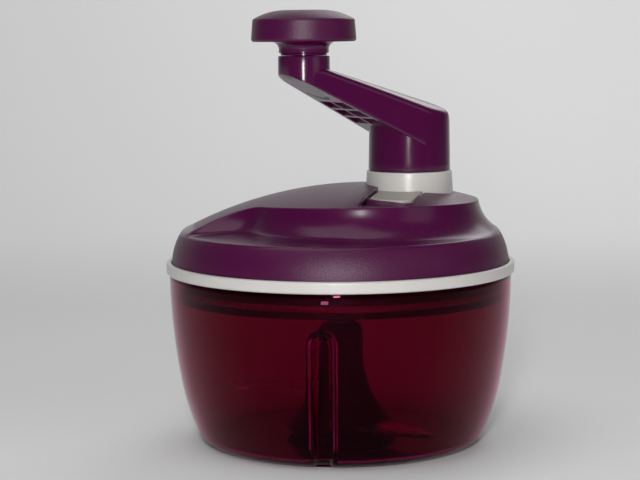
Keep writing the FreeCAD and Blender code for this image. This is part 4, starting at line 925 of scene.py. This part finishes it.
def cover_height(x, y, inset, sizes):
    """Height of the cover inside its shoulder: the lower of dome and flank, and the higher of that and
    the ledge, each blended softly."""
    flank = flank_height(crown_distance(x, y) + inset)
    crown = soft_min(dome_height(x, y) - inset, flank, sizes.crease_round)
    return soft_max(ledge_height(x, y, inset), crown, sizes.ledge_round)


def spaced(count, both=True):
    """Shares from 0 to 1, crowded towards both ends or only towards the last."""
    turn = np.linspace(0.0, math.pi if both else math.pi / 2, count)
    return (1 - np.cos(turn)) / 2 if both else np.sin(turn)


def first_below(upper, lower, reach):
    """For each ray, the reach at which one height first drops below the other."""
    under = upper < lower
    found = under.argmax(axis=1)
    return np.where(under.any(axis=1), reach[np.arange(len(found)), found], reach[:, -1])


def cover_mesh(sizes):
    """The cover on rays from the collar's axis. Along each ray the points crowd to where the crease, the
    flank's foot and the shoulder lie, then go round the shoulder and down the skirt's arc, under its edge,
    and back along the inner face, so the grid wraps both ways."""
    even = np.linspace(0.0, 2 * math.pi, 2001)
    weight = 1.0 + 4.0 * np.exp(-((even - math.pi) / 0.3) ** 2)
    total = np.concatenate([[0.0], np.cumsum((weight[1:] + weight[:-1]) / 2)])
    rays = np.interp(np.linspace(0.0, total[-1], 401)[:-1], total, even)
    cosine, sine = np.cos(rays), np.sin(rays)

    def plan(reach):
        return CRANK_X + reach * cosine[:, None], reach * sine[:, None]

    def hit(radius):
        return -CRANK_X * cosine + np.sqrt((CRANK_X * cosine) ** 2 + radius ** 2 - CRANK_X ** 2)

    corner = 2.0
    slope = math.atan2(LEDGE_RISE, SHOULDER_RADIUS - LEDGE_INNER)
    turn = np.linspace(0.2, 0.8, 4001)
    across = SKIRT_CENTRE + (SKIRT_ARC - corner) * np.cos(turn)
    up = COVER_LOW + (SKIRT_ARC - corner) * np.sin(turn)
    ledge = SHOULDER + math.tan(slope) * (SHOULDER_RADIUS - across) - corner / math.cos(slope)
    at = np.abs(up - ledge).argmin()
    centre, meet = (across[at], up[at]), turn[at]
    start = centre[0] + corner * math.sin(slope)
    hole = COLLAR_RADIUS + 0.2
    reach = hole + (hit(start)[:, None] - hole) * np.linspace(0.0, 1.0, 600)
    x, y = plan(reach)
    flank = flank_height(crown_distance(x, y))
    outer = hit(start)
    crease = np.minimum(first_below(flank, dome_height(x, y), reach), outer - 1.2)
    foot = np.clip(first_below(flank, ledge_height(x, y), reach), crease + 0.6, outer - 0.5)
    zones = [hole + 0.6 + (crease[:, None] - hole - 0.6) * spaced(26, False)]
    zones.append(crease[:, None] + (foot - crease)[:, None] * spaced(34)[1:])
    zones.append(foot[:, None] + (outer - foot)[:, None] * spaced(14)[1:])
    along = np.concatenate(zones, axis=1)
    x, y = plan(along)
    top = np.stack([x, y, cover_height(x, y, 0.0, sizes)], axis=-1)
    extra = top[:, -1, 2] - (centre[1] + corner * math.cos(slope))

    def ring(radius, height):
        away = hit(radius)
        return np.stack([CRANK_X + away * cosine, away * sine, height + 0 * away], axis=-1)

    def skirt(radius, lean):
        return ring(SKIRT_CENTRE + radius * math.cos(lean), COVER_LOW + radius * math.sin(lean))

    rows = [top[:, k] for k in range(top.shape[1])]
    for share in np.linspace(0.0, 1.0, 9)[1:]:
        lean = (math.pi / 2 - slope) + (meet - (math.pi / 2 - slope)) * share
        height = centre[1] + corner * math.sin(lean)
        rows.append(ring(centre[0] + corner * math.cos(lean), height + extra * (1 - share) ** 2))
    for lean in meet * (1 - np.linspace(0.0, 1.0, 26))[1:]:
        rows.append(skirt(SKIRT_ARC, lean))
    for lean in np.linspace(0.0, meet, 8):
        rows.append(skirt(SKIRT_ARC - COVER_WALL, lean))
    back = hole + (hit(start - 3.0) - hole)[:, None] * np.linspace(1.0, 0.0, 34)
    x, y = plan(back)
    under = np.stack([x, y, cover_height(x, y, COVER_WALL, sizes)], axis=-1)
    rows += [under[:, k] for k in range(under.shape[1])]
    lip_x, lip_y = CRANK_X + hole * cosine, hole * sine
    lip = cover_height(lip_x, lip_y, 0.0, sizes)
    for out, drop in ((0.0, 0.6), (0.06, 0.28), (0.22, 0.08)):
        rows.append(np.stack([lip_x + out * cosine, lip_y + out * sine, lip - drop], axis=-1))
    points = np.stack(rows, axis=1)
    return grid_mesh("cover_shell", points, wrap_u=True, wrap_v=True, smooth=32.0,
                     **dressed("plum_satin", "lid", "plum_cover"))


# Release tab, drawn out from the collar's axis along +X and turned to its place

TAB_ANGLE = math.radians(-105.5)
TAB_HALF, TAB_LENGTH, TAB_CORNER, TAB_THICK = 11.25, 22.5, 6.5, 2.6
TAB_SLOPE, TAB_HEIGHT = math.radians(5.5), 131.4
TAB_ROOT = COLLAR_RADIUS + 0.3
POCKET_FLOOR = 123.5
PAN_THICK = 1.8
SCOOP_FLOOR = 126.6
SCOOP_REACH, PAN_SHORTER = 17.0, 6.5
SIDE_GAP = 0.7
HINGE_DIP, HINGE_PLACE, HINGE_WIDTH = 0.3, 2.4, 0.7


def tab_loop(grow):
    """The tab's plan, grown by a distance: an arc round the collar, two straight sides and two rounded
    corners, always with the same number of points."""
    root = TAB_ROOT - grow
    half = TAB_HALF + grow
    end = TAB_ROOT + TAB_LENGTH + grow
    wide = math.asin(half / root)
    first = arc(0.0, 0.0, root, wide * np.linspace(1.0, -1.0, 17))
    corner = TAB_CORNER + grow
    low = arc(end - corner, corner - half, corner, np.linspace(-math.pi / 2, 0.0, 10))
    high = low[::-1] * (1.0, -1.0)
    side = np.linspace(0.0, 1.0, 8)[1:-1, None]
    parts = []
    for here, after in ((first, low), (low, high), (high, first)):
        parts += [here, here[-1] + (after[0] - here[-1]) * side]
    return np.concatenate(parts)


def tab_placed(loop, height):
    """Points of a loop in plan, turned to the tab's place, at given heights."""
    return raised(turned(loop, TAB_ANGLE, CRANK_X), height)


def outside_over(loop, sizes):
    """Height of the cover's outside at each point of a loop turned to the tab's place."""
    place = turned(loop, TAB_ANGLE, CRANK_X)
    return cover_height(place[:, 0], place[:, 1], 0.0, sizes)


def capped(rows):
    """Rows of points with both ends drawn together to their middles, so a wrapped grid is closed."""
    first = np.broadcast_to(rows[0].mean(axis=0), rows[0].shape)
    last = np.broadcast_to(rows[-1].mean(axis=0), rows[-1].shape)
    return np.stack([first] + list(rows) + [last], axis=1)


def scoop_loop(grow, reach):
    """The plan of the shallow scoop in front of the tab, a rectangle with rounded corners, grown by a
    distance. Every side of the outline is split in four, so all its loops have as many points."""
    half = TAB_HALF + SIDE_GAP + grow
    start = TAB_ROOT + TAB_LENGTH - TAB_CORNER - grow
    end = TAB_ROOT + TAB_LENGTH + reach + grow
    loop = rounded([(start, -half, 0.6), (end, -half, 2.0), (end, half, 2.0), (start, half, 0.6)])
    spots = np.arange(4 * len(loop)) / 4
    ends = np.arange(len(loop) + 1)
    closed = np.concatenate([loop, loop[:1]])
    return np.stack([np.interp(spots, ends, closed[:, 0]), np.interp(spots, ends, closed[:, 1])], axis=-1)


def scoop_cutter(sizes):
    """The scoop as a solid to take away: a flat floor, a small fillet, and a flare at the cover's outside."""
    rows = [tab_placed(scoop_loop(-0.4, SCOOP_REACH), SCOOP_FLOOR),
            tab_placed(scoop_loop(0.0, SCOOP_REACH), SCOOP_FLOOR + 0.3)]
    for step, (grow, above) in enumerate(((0.0, -0.5), (0.15, -0.2), (0.5, 0.05), (0.6, 6.0))):
        loop = scoop_loop(grow, SCOOP_REACH)
        least = SCOOP_FLOOR + 0.34 + 0.04 * step + max(above, 0.0)
        rows.append(tab_placed(loop, np.maximum(outside_over(loop, sizes) + above, least)))
    return grid_mesh("scoop_cutter", capped(rows), wrap_u=True)


def scoop_pan(sizes):
    """The thin floor below the scoop, which keeps a little under the cover's outside towards the crease."""
    def sheet(grow, drop):
        loop = scoop_loop(grow, SCOOP_REACH - PAN_SHORTER)
        outside = outside_over(loop, sizes) - 0.6
        return tab_placed(loop, np.minimum(SCOOP_FLOOR - 0.02, outside) - drop)

    rows = [sheet(grow, 0.0) for grow in (-8.0, -4.0, -1.5, 0.3)]
    rows += [sheet(grow, PAN_THICK) for grow in (0.3, -8.0)]
    pan = grid_mesh("scoop_floor", capped(rows), wrap_u=True, **dressed("plum_satin", "lid"))
    cut(pan, pocket_cutter(sizes))
    shade(pan, 32.0)
    return pan


def pocket_cutter(sizes):
    """The tab's pocket as a solid to take away, flared where it meets the cover's outside."""
    rows = [tab_placed(tab_loop(SIDE_GAP), POCKET_FLOOR)]
    for grow, above in ((SIDE_GAP, -0.9), (0.74, -0.5), (0.9, -0.2), (1.2, -0.02), (1.4, 0.05), (1.5, 6.0)):
        loop = tab_loop(grow)
        rows.append(tab_placed(loop, outside_over(loop, sizes) + above))
    return grid_mesh("pocket_cutter", capped(rows), wrap_u=True)


def pocket_pan(sizes):
    """The thin-walled pan below the tab: a floor and a wall that follows the cover's underside."""
    def level(grow, height):
        return tab_placed(tab_loop(grow), height)

    def wall(grow, drop):
        loop = tab_loop(grow)
        return tab_placed(loop, np.maximum(outside_over(loop, sizes) - drop, POCKET_FLOOR + 0.2))

    under = POCKET_FLOOR - PAN_THICK
    rows = [level(-0.5, POCKET_FLOOR), level(0.2, POCKET_FLOOR), level(0.72, POCKET_FLOOR + 0.6),
            wall(0.72, 1.2), wall(2.4, 1.2), level(2.4, under), level(-0.5, under)]
    return grid_mesh("pocket_pan", capped(rows), wrap_u=True, **dressed("plum_satin", "lid"))


def tab_mesh():
    """The tab as rows round its plan: over the sloping top, round the edge and back under it. The top
    dips at the hinge line near the collar."""
    def row(grow, drop):
        loop = tab_loop(grow)
        out = loop[:, 0] - TAB_ROOT
        height = TAB_HEIGHT - out * math.tan(TAB_SLOPE) - drop
        height = height - HINGE_DIP * np.exp(-((out - HINGE_PLACE) / HINGE_WIDTH) ** 2) * (drop < 1.0)
        return tab_placed(loop, height)

    edge_rows = ((-5.4, 0.0), (-4.0, 0.0), (-2.6, 0.0), (-1.5, 0.0), (-0.85, 0.04), (-0.42, 0.16),
                 (-0.14, 0.38), (0.0, 0.7), (0.0, 1.4), (0.0, 2.1), (-0.1, 2.4), (-0.35, TAB_THICK),
                 (-1.2, TAB_THICK), (-2.6, TAB_THICK), (-5.4, TAB_THICK))
    rows = [row(grow, drop) for grow, drop in edge_rows]
    return grid_mesh("press_tab", capped(rows), wrap_u=True, smooth=45.0, **dressed("tab_grey", "tab"))


class ChopperLid(bpy.types.Operator):
    """The lid's cover with its tab pocket, the ivory ring, the collar and the release tab"""
    bl_idname = "chopper.lid"
    bl_label = "Lid"

    def execute(self, context):
        sizes = context.scene.chopper_sizes
        cover = cover_mesh(sizes)
        cut(cover, pocket_cutter(sizes), scoop_cutter(sizes))
        shade(cover, 32.0)
        replace(cover, "lid_cover")
        replace(pocket_pan(sizes), "lid_cover")
        replace(scoop_pan(sizes), "lid_cover")
        flange = edge("lid_deck", HIGH, "x")
        foot = SKIRT_RADIUS - RING_LAP
        side = flange + 0.2
        outline = rounded([
            (foot, COVER_LOW - 2.0, 0.2), (side, COVER_LOW - 2.0, 0.0), (side, RING_LOW, 0.2),
            (RING_RADIUS, RING_LOW, RING_ROUND), (RING_RADIUS, RING_HIGH, RING_ROUND),
            (side, RING_HIGH, 0.25), (side, COVER_LOW, 0.0), (foot, COVER_LOW, 0.2)], steps=12)
        ring = lathe("ivory_ring", outline, turns=sizes.turns, smooth=40.0, **dressed("ivory", "lid"))
        replace(ring, "rim_ring")
        plate = COLLAR_TOP - COLLAR_WALL
        inner = COLLAR_TOP_RADIUS - COLLAR_WALL
        flange_top = COLLAR_LOW + COLLAR_FOOT_THICK
        bearing_low = plate - BEARING_DEPTH
        outline = rounded([
            (inner, COLLAR_LOW, 0.3), (COLLAR_FOOT_RADIUS, COLLAR_LOW, 0.3),
            (COLLAR_FOOT_RADIUS, flange_top, 0.3), (COLLAR_RADIUS, flange_top, 0.5),
            (COLLAR_RADIUS, DOME_TOP - 3.8, 2.0), (COLLAR_TOP_RADIUS, COLLAR_TOP, 0.7),
            (BEARING_BORE, COLLAR_TOP, 0.2), (BEARING_BORE, bearing_low, 0.2),
            (BEARING_RADIUS, bearing_low, 0.4), (BEARING_RADIUS, plate, 0.4), (inner, plate, 0.6)])
        collar = lathe("collar_band", subdivide(outline, 3.0), x=CRANK_X, turns=sizes.turns,
                       **dressed("ivory", "lid"))
        replace(collar, "collar")
        replace(tab_mesh(), "release_tab")
        return {"FINISHED"}


# Crank, worked out with its arm along +X and turned to its angle

NECK_RADIUS = 12.9
TOWER_LOW_RADIUS, TOWER_HIGH_RADIUS = 21.1, 20.4
ARM_APEX, ARM_SLOPE = 178.4, math.radians(17.0)
UNDER_START, UNDER_SLOPE = 164.0, math.radians(27.3)
HEEL_ARC, CROWN_ARC = 22.0, 40.0
ARM_WALL, ARM_ROUND = 2.4, 2.2
TOWER_RISE, POST_TOP = 47.4, 166.0
TOWER_LEAN = math.asin((TOWER_HIGH_RADIUS - NECK_RADIUS) / ARM_THROW)
CELL_STOPS = (TOWER_LOW_RADIUS + 1.2, 30.0, 38.0, 46.4)
RIB_HALF, CELL_DEEPER = 0.8, 6.0
NECK_BORE, NECK_FLOOR = 5.1, 3.5
STEM_RADIUS, GROOVE_RADIUS = 12.5, 11.6
FLARE_RADIUS, FLARE_RISE, GROOVE_RISE = 17.2, 3.8, 1.2
FLAT_RADIUS, SHOULDER_DROP, SIDE_DROP = 10.0, 4.1, 5.6


def turned_to_arm(rows):
    """Rows of points drawn with the arm along +X, turned and moved to the crank's place."""
    return turned(np.stack(rows, axis=1), ARM_ANGLE, CRANK_X)


def arm_top(u, w, inset=0.0):
    """Height of the arm's top: a long arc's crown across a sloping spine, and round the heel a smaller
    arc that meets the slope smoothly."""
    rise = math.tan(ARM_SLOPE)
    apex = ARM_APEX - inset / math.cos(ARM_SLOPE)
    bow = CROWN_ARC - inset
    crown = apex + u * rise - (bow - np.sqrt(bow ** 2 - w ** 2)) / math.cos(ARM_SLOPE)
    heel_x = HEEL_ARC - TOWER_LOW_RADIUS - 0.2
    heel_z = ARM_APEX + heel_x * rise - HEEL_ARC / math.cos(ARM_SLOPE)
    behind = np.clip(heel_x - u, 0.0, HEEL_ARC - inset)
    heel = heel_z + np.sqrt(np.maximum((HEEL_ARC - inset) ** 2 - behind ** 2, 0.0))
    bent = behind > HEEL_ARC * math.sin(ARM_SLOPE)
    return soft_min(crown, np.where(bent, heel, 1e3), 0.8)


def arm_under(u):
    """Height of the arm's sloping underside."""
    return UNDER_START + (u - TOWER_LOW_RADIUS) * math.tan(UNDER_SLOPE)


def arm_mesh():
    """The arm and tower in one skin. Its plan is two circles joined by their tangents, and each point
    of the plan's outline moves in towards the line between the circles' centres: over the rounded edge
    and across the crowned top, and back along the bottom."""
    edge_turn = math.pi / 2 - TOWER_LEAN
    tower = np.linspace(edge_turn, 2 * math.pi - edge_turn, 121)
    neck = np.linspace(-edge_turn, edge_turn, 49)
    side = spaced(60)[1:-1]
    turn = np.concatenate([tower, np.full(len(side), -edge_turn), neck, np.full(len(side), edge_turn)])
    share = np.concatenate([0 * tower, side, 0 * neck + 1, side[::-1]])
    order = np.concatenate([[0], np.arange(len(tower)), [len(tower) - 1], np.arange(len(tower), len(turn))])
    low_tower = np.zeros(len(order), dtype=bool)
    low_tower[1:len(tower) + 1] = True
    turn, share = turn[order], share[order]
    normal = np.stack([np.cos(turn), np.sin(turn)], axis=-1)
    middle = np.stack([ARM_THROW * share, 0 * share], axis=-1)
    neck_radius = NECK_RADIUS - 0.04
    cap = ARM_APEX + (ARM_THROW - NECK_RADIUS) * math.tan(ARM_SLOPE)

    def place(inset, height):
        rise = np.clip(height, TOWER_LOW, NECK_TOP) - TOWER_LOW
        draft = (TOWER_LOW_RADIUS - TOWER_HIGH_RADIUS) * rise / TOWER_RISE
        radius = (TOWER_LOW_RADIUS - draft) * (1 - share) + neck_radius * share
        flat = middle + normal * np.maximum(radius - inset, 0.0)[:, None]
        return flat, radius

    def top_at(flat):
        return np.minimum(arm_top(flat[:, 0], flat[:, 1]), cap + 0.6)

    wall, radius = place(0.0, np.full(len(turn), 175.0))
    upper = top_at(wall) - ARM_ROUND
    bottom = np.where(low_tower, TOWER_LOW, arm_under(wall[:, 0]))
    bottom = np.minimum(bottom, upper - 0.4)
    rows = []
    for step in (0.0, 0.5):
        inside = middle + normal * (radius * step)[:, None]
        height = np.where(low_tower, TOWER_LOW, np.minimum(arm_under(inside[:, 0]), top_at(inside) - 1.0))
        rows.append(raised(inside, height))
    for inset, above in ((0.12, 0.0), (0.0, 0.25)):
        rows.append(raised(place(inset, bottom)[0], bottom + above))
    for step in np.linspace(0.0, 1.0, 10)[1:]:
        height = bottom + 0.25 + (upper - bottom - 0.25) * step
        rows.append(raised(place(0.0, height)[0], height))
    for lift in np.linspace(0.0, math.pi / 2, 10)[1:]:
        flat, _ = place(ARM_ROUND * (1 - math.cos(lift)), upper)
        rows.append(raised(flat, top_at(flat) - ARM_ROUND * (1 - math.sin(lift))))
    flat, radius = place(0.0, upper)
    for step in np.linspace(0.0, 1.0, 22)[1:]:
        away = (radius - ARM_ROUND) * (1 - step)
        inside = middle + normal * away[:, None]
        rows.append(raised(inside, top_at(inside)))
    return grid_mesh("crank_body", turned_to_arm(rows), wrap_u=True, smooth=38.0)


def under_pockets():
    """The cells between the ribs under the arm, each a solid to take away: a block over a patch of the
    plan, from below the underside to a wall's thickness under the top."""
    cells = []
    for first, last in zip(CELL_STOPS[:-1], CELL_STOPS[1:]):
        for way in (-1, 1):
            u = np.linspace(first + RIB_HALF, last - RIB_HALF, 7)
            wide = (TOWER_HIGH_RADIUS - u * math.sin(TOWER_LEAN)) / math.cos(TOWER_LEAN) - ARM_WALL
            w = RIB_HALF + (wide - RIB_HALF)[:, None] * np.linspace(0.0, 1.0, 9)
            plan = np.stack([np.broadcast_to(u[:, None], w.shape), w * way], axis=-1)
            loop = np.concatenate([plan[:, 0], plan[-1, 1:], plan[-2::-1, -1], plan[0, -2:0:-1]])
            low = arm_under(loop[:, 0]) - CELL_DEEPER
            high = arm_top(loop[:, 0], loop[:, 1], ARM_WALL) - 0.4
            middle = loop.mean(axis=0)
            centre = middle + 0 * loop
            peak = arm_top(middle[0], middle[1], ARM_WALL) - 0.4
            rows = [raised(centre, low), raised(loop, low), raised(loop, high), raised(centre, peak)]
            cells.append(grid_mesh(f"cell_{len(cells)}", turned_to_arm(rows), wrap_u=True))
    return cells


def neck_ring(radius, cosine, sine):
    """A circle in plan round the neck, with the arm along +X."""
    return np.stack([ARM_THROW + radius * cosine, radius * sine], axis=-1)


class ChopperCrank(bpy.types.Operator):
    """The crank with its tower, sloping arm, ribbed underside and neck"""
    bl_idname = "chopper.crank"
    bl_label = "Crank"

    def execute(self, context):
        sizes = context.scene.chopper_sizes
        arm = arm_mesh()
        cut(arm, *under_pockets())
        shade(arm, 38.0)
        arm.data.materials.clear()
        arm.data.materials.append(finishes()["plum_gloss"])
        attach(arm, "crank")
        replace(arm, "crank_arm")
        gloss = dressed("plum_gloss", "crank")
        foot = TOWER_LOW + 0.02
        post = rounded([(4.0, foot, 0.0), (TOWER_LOW_RADIUS - 0.05, foot, 0.4),
                        (TOWER_HIGH_RADIUS + 0.2, POST_TOP, 0.0), (4.0, POST_TOP, 0.0)])
        tower = lathe("crank_tower", subdivide(post, 4.0), x=CRANK_X, turns=sizes.turns, **gloss)
        replace(tower, "crank_arm")
        place = np.linspace(0.0, 2 * math.pi, sizes.turns, endpoint=False)
        cosine, sine = np.cos(place), np.sin(place)
        floor = NECK_TOP - NECK_FLOOR
        sleeve = NECK_RADIUS - ARM_WALL
        level_rows = ((NECK_BORE, NECK_TOP), (NECK_RADIUS - 0.5, NECK_TOP),
                      (NECK_RADIUS - 0.15, NECK_TOP - 0.12), (NECK_RADIUS, NECK_TOP - 0.5))
        leaning_rows = ((NECK_RADIUS, 0.2), (NECK_RADIUS - 0.2, 0.0), (sleeve + 0.2, 0.0), (sleeve, 0.2))
        rows = [raised(neck_ring(radius, cosine, sine), height) for radius, height in level_rows]
        for radius, above in leaning_rows:
            ring = neck_ring(radius, cosine, sine)
            rows.append(raised(ring, arm_under(ring[:, 0]) + above))
        rows += [raised(neck_ring(radius, cosine, sine), floor) for radius in (sleeve, NECK_BORE)]
        neck = grid_mesh("crank_neck", turned_to_arm(rows), wrap_u=True, wrap_v=True, **gloss)
        replace(neck, "crank_arm")
        return {"FINISHED"}


class ChopperKnob(bpy.types.Operator):
    """The palm knob: its grooved stem and flared plate, and the domed cap"""
    bl_idname = "chopper.knob"
    bl_label = "Knob"

    def execute(self, context):
        sizes = context.scene.chopper_sizes
        low = NECK_TOP + 0.2
        collar = low + GROOVE_RISE
        disc = edge("knob_stem", HIGH, "x") - KNOB_X
        stem_top = edge("knob_stem", HIGH, "z")
        flare_low = NECK_TOP + FLARE_RISE
        flare = bend((STEM_RADIUS, flare_low), (STEM_RADIUS + 1.1, flare_low + 0.62 * (KNOB_LOW - flare_low)),
                     (FLARE_RADIUS, KNOB_LOW), 18)
        outline = np.concatenate([
            [[0.0, low - 3.7], [4.6, low - 3.7], [5.0, low - 3.3], [5.0, low], [GROOVE_RADIUS - 0.2, low],
             [GROOVE_RADIUS, low + 0.15], [GROOVE_RADIUS, collar - 0.15], [GROOVE_RADIUS + 0.15, collar],
             [STEM_RADIUS - 0.25, collar], [STEM_RADIUS, collar + 0.25]],
            flare, [[disc, KNOB_LOW], [disc, stem_top], [0.0, stem_top]]])
        stem = lathe("knob_foot", outline, x=KNOB_X, y=KNOB_Y, turns=sizes.turns, smooth=30.0,
                     **dressed("plum_gloss", "knob"))
        replace(stem, "knob_stem")
        radius = edge("knob_cap", HIGH, "x") - KNOB_X
        side_top = KNOB_TOP - SIDE_DROP
        shoulder, shoulder_z = radius - 1.6, KNOB_TOP - SHOULDER_DROP
        foot = bend((radius - 1.5, KNOB_LOW), (radius - 0.44, KNOB_LOW + 0.44), (radius, KNOB_LOW + 1.5), 8)
        turn = bend((radius - 0.7, side_top), (radius - 0.9, side_top + 0.9), (shoulder, shoulder_z), 10)
        dome = bend((shoulder, shoulder_z), ((shoulder + FLAT_RADIUS) / 2, KNOB_TOP - 1.1),
                    (FLAT_RADIUS, KNOB_TOP), 20)
        ceiling = shoulder_z - 1.2
        inside = np.array([[0.0, ceiling], [shoulder - 4.0, ceiling], [disc + 0.02, stem_top + 0.4],
                           [disc + 0.02, KNOB_LOW + 0.3], [disc + 0.3, KNOB_LOW]])
        outline = np.concatenate([inside, foot, turn, dome[1:], [[0.0, KNOB_TOP]]])
        cap = lathe("knob_dome", subdivide(outline, 2.0, closed=False), x=KNOB_X, y=KNOB_Y, closed=False,
                    turns=sizes.turns, smooth=30.0, **dressed("plum_satin", "knob"))
        replace(cap, "knob_cap")
        return {"FINISHED"}


class ChopperWorks(bpy.types.Operator):
    """Finishes for the construction pieces that keep their shape: deck, gears, shafts, bushes and screws"""
    bl_idname = "chopper.works"
    bl_label = "Inner works"

    def execute(self, context):
        slots = {entry["node"]: entry["material_slot"] for entry in frame["record"]["subparts"]}
        for name, piece in frame["nodes"].items():
            if piece.hide_render:
                continue
            material = finishes()[slots[name]]
            piece.data.materials.clear()
            piece.data.materials.append(material)
        return {"FINISHED"}


# Stage: the sweep of paper in millimetres, and lamps as name, place, aim, size and power

FLOOR_FRONT, FLOOR_BACK, SWEEP_ARC, SWEEP_WIDE = -2600.0, 900.0, 700.0, 3000.0
WALL_LOW, WALL_HIGH = 500.0, 2600.0
OBJECT_MIDDLE = (0.0, 0.0, 0.1)
LAMPS = (
    ("key", (-0.05, -0.95, 0.32), (0.0, 0.0, 0.12), (0.08, 0.30), 5.4),
    ("top", (-0.3, -0.3, 1.5), OBJECT_MIDDLE, (1.2, 1.2), 6.0),
    ("side", (1.3, -0.9, 0.8), OBJECT_MIDDLE, (0.9, 0.9), 1.6),
    ("rear", (0.5, 1.1, 1.0), OBJECT_MIDDLE, (0.9, 0.9), 3.5),
    ("backdrop", (0.0, 0.9, 1.2), (0.0, 1.6, 0.95), (2.4, 0.4), 6.5),
)
SURROUND_STRENGTH = 0.09
CAMERA_PLACE, CAMERA_DOWN, CAMERA_ROLL, CAMERA_LENS = (-0.0104, -0.928, 0.2115), 6.58, -0.46, 101.25


class ChopperStage(bpy.types.Operator):
    """Pale floor and backdrop, soft lights, and the camera at the photograph's angle"""
    bl_idname = "chopper.stage"
    bl_label = "Stage"

    def execute(self, context):
        scene = context.scene
        scene.view_settings.view_transform = "Standard"
        bend_turn = np.linspace(0, math.pi / 2, 16)[1:]
        run = np.concatenate([np.linspace(FLOOR_FRONT, FLOOR_BACK, 12),
                              FLOOR_BACK + SWEEP_ARC * np.sin(bend_turn), np.full(4, FLOOR_BACK + SWEEP_ARC)])
        rise = np.concatenate([np.zeros(12), SWEEP_ARC * (1 - np.cos(bend_turn)),
                               SWEEP_ARC + np.linspace(WALL_LOW, WALL_HIGH, 4)])
        wide = np.linspace(-SWEEP_WIDE, SWEEP_WIDE, 9)[:, None]
        points = np.stack(np.broadcast_arrays(wide, run, rise), axis=-1)
        floor = grid_mesh("pale_floor", points, smooth=60.0)
        material, tree, shader = new_material("pale_paper")
        grain = noise(tree, object_place(tree), 900.0, 3.0, 0.6)
        fill(tree, shader, Base_Color=grey(tree, ramp(tree, grain, 0.3, 0.7, 0.88, 0.91)), Roughness=0.85)
        floor.data.materials.append(material)
        world = bpy.data.worlds.new("soft_surround")
        scene.world = world
        world.use_nodes = True
        surround = world.node_tree.nodes["Background"]
        fill(world.node_tree, surround, Color=(1.0, 1.0, 1.0, 1.0), Strength=SURROUND_STRENGTH)
        for lamp in LAMPS:
            self.lamp(*lamp)
        camera = bpy.data.objects.new("camera", bpy.data.cameras.new("camera"))
        scene.collection.objects.link(camera)
        camera.data.sensor_width = 36.0
        camera.data.lens = CAMERA_LENS
        camera.data.clip_start = 0.05
        tilt = Matrix.Rotation(math.radians(90.0 - CAMERA_DOWN), 4, "X")
        roll = Matrix.Rotation(math.radians(CAMERA_ROLL), 4, "Z")
        camera.matrix_world = Matrix.Translation(CAMERA_PLACE) @ tilt @ roll
        scene.camera = camera
        return {"FINISHED"}

    def lamp(self, name, place, aim, size, power):
        """A rectangular area lamp that looks at its aim."""
        data = bpy.data.lights.new(name, "AREA")
        data.shape = "RECTANGLE"
        data.size, data.size_y = size
        data.energy = power
        lamp = bpy.data.objects.new(name, data)
        bpy.context.scene.collection.objects.link(lamp)
        lamp.location = place
        away = Vector(place) - Vector(aim)
        lamp.rotation_euler = away.to_track_quat("Z", "Y").to_euler()


class ChopperPanel(bpy.types.Panel):
    """Sidebar panel with the chopper's settings and its build steps"""
    bl_label = "Food chopper"
    bl_idname = "VIEW3D_PT_chopper"
    bl_space_type = "VIEW_3D"
    bl_region_type = "UI"
    bl_category = "Chopper"

    def draw(self, context):
        layout = self.layout
        for group in (context.scene.chopper_looks, context.scene.chopper_sizes):
            column = layout.column(align=True)
            for key in group.__annotations__:
                column.prop(group, key)
        for step in STEPS:
            layout.operator(step.bl_idname)


STEPS = (ChopperBowl, ChopperBlades, ChopperLid, ChopperCrank, ChopperKnob, ChopperWorks, ChopperStage)
CLASSES = (ChopperLooks, ChopperSizes) + STEPS + (ChopperPanel,)


def register():
    for each in CLASSES:
        bpy.utils.register_class(each)
    bpy.types.Scene.chopper_looks = PointerProperty(type=ChopperLooks)
    bpy.types.Scene.chopper_sizes = PointerProperty(type=ChopperSizes)


def unregister():
    del bpy.types.Scene.chopper_sizes
    del bpy.types.Scene.chopper_looks
    for each in reversed(CLASSES):
        bpy.utils.unregister_class(each)


def main():
    register()
    for step in STEPS:
        group, name = step.bl_idname.split(".")
        getattr(getattr(bpy.ops, group), name)()


if __name__ == "__main__":
    main()
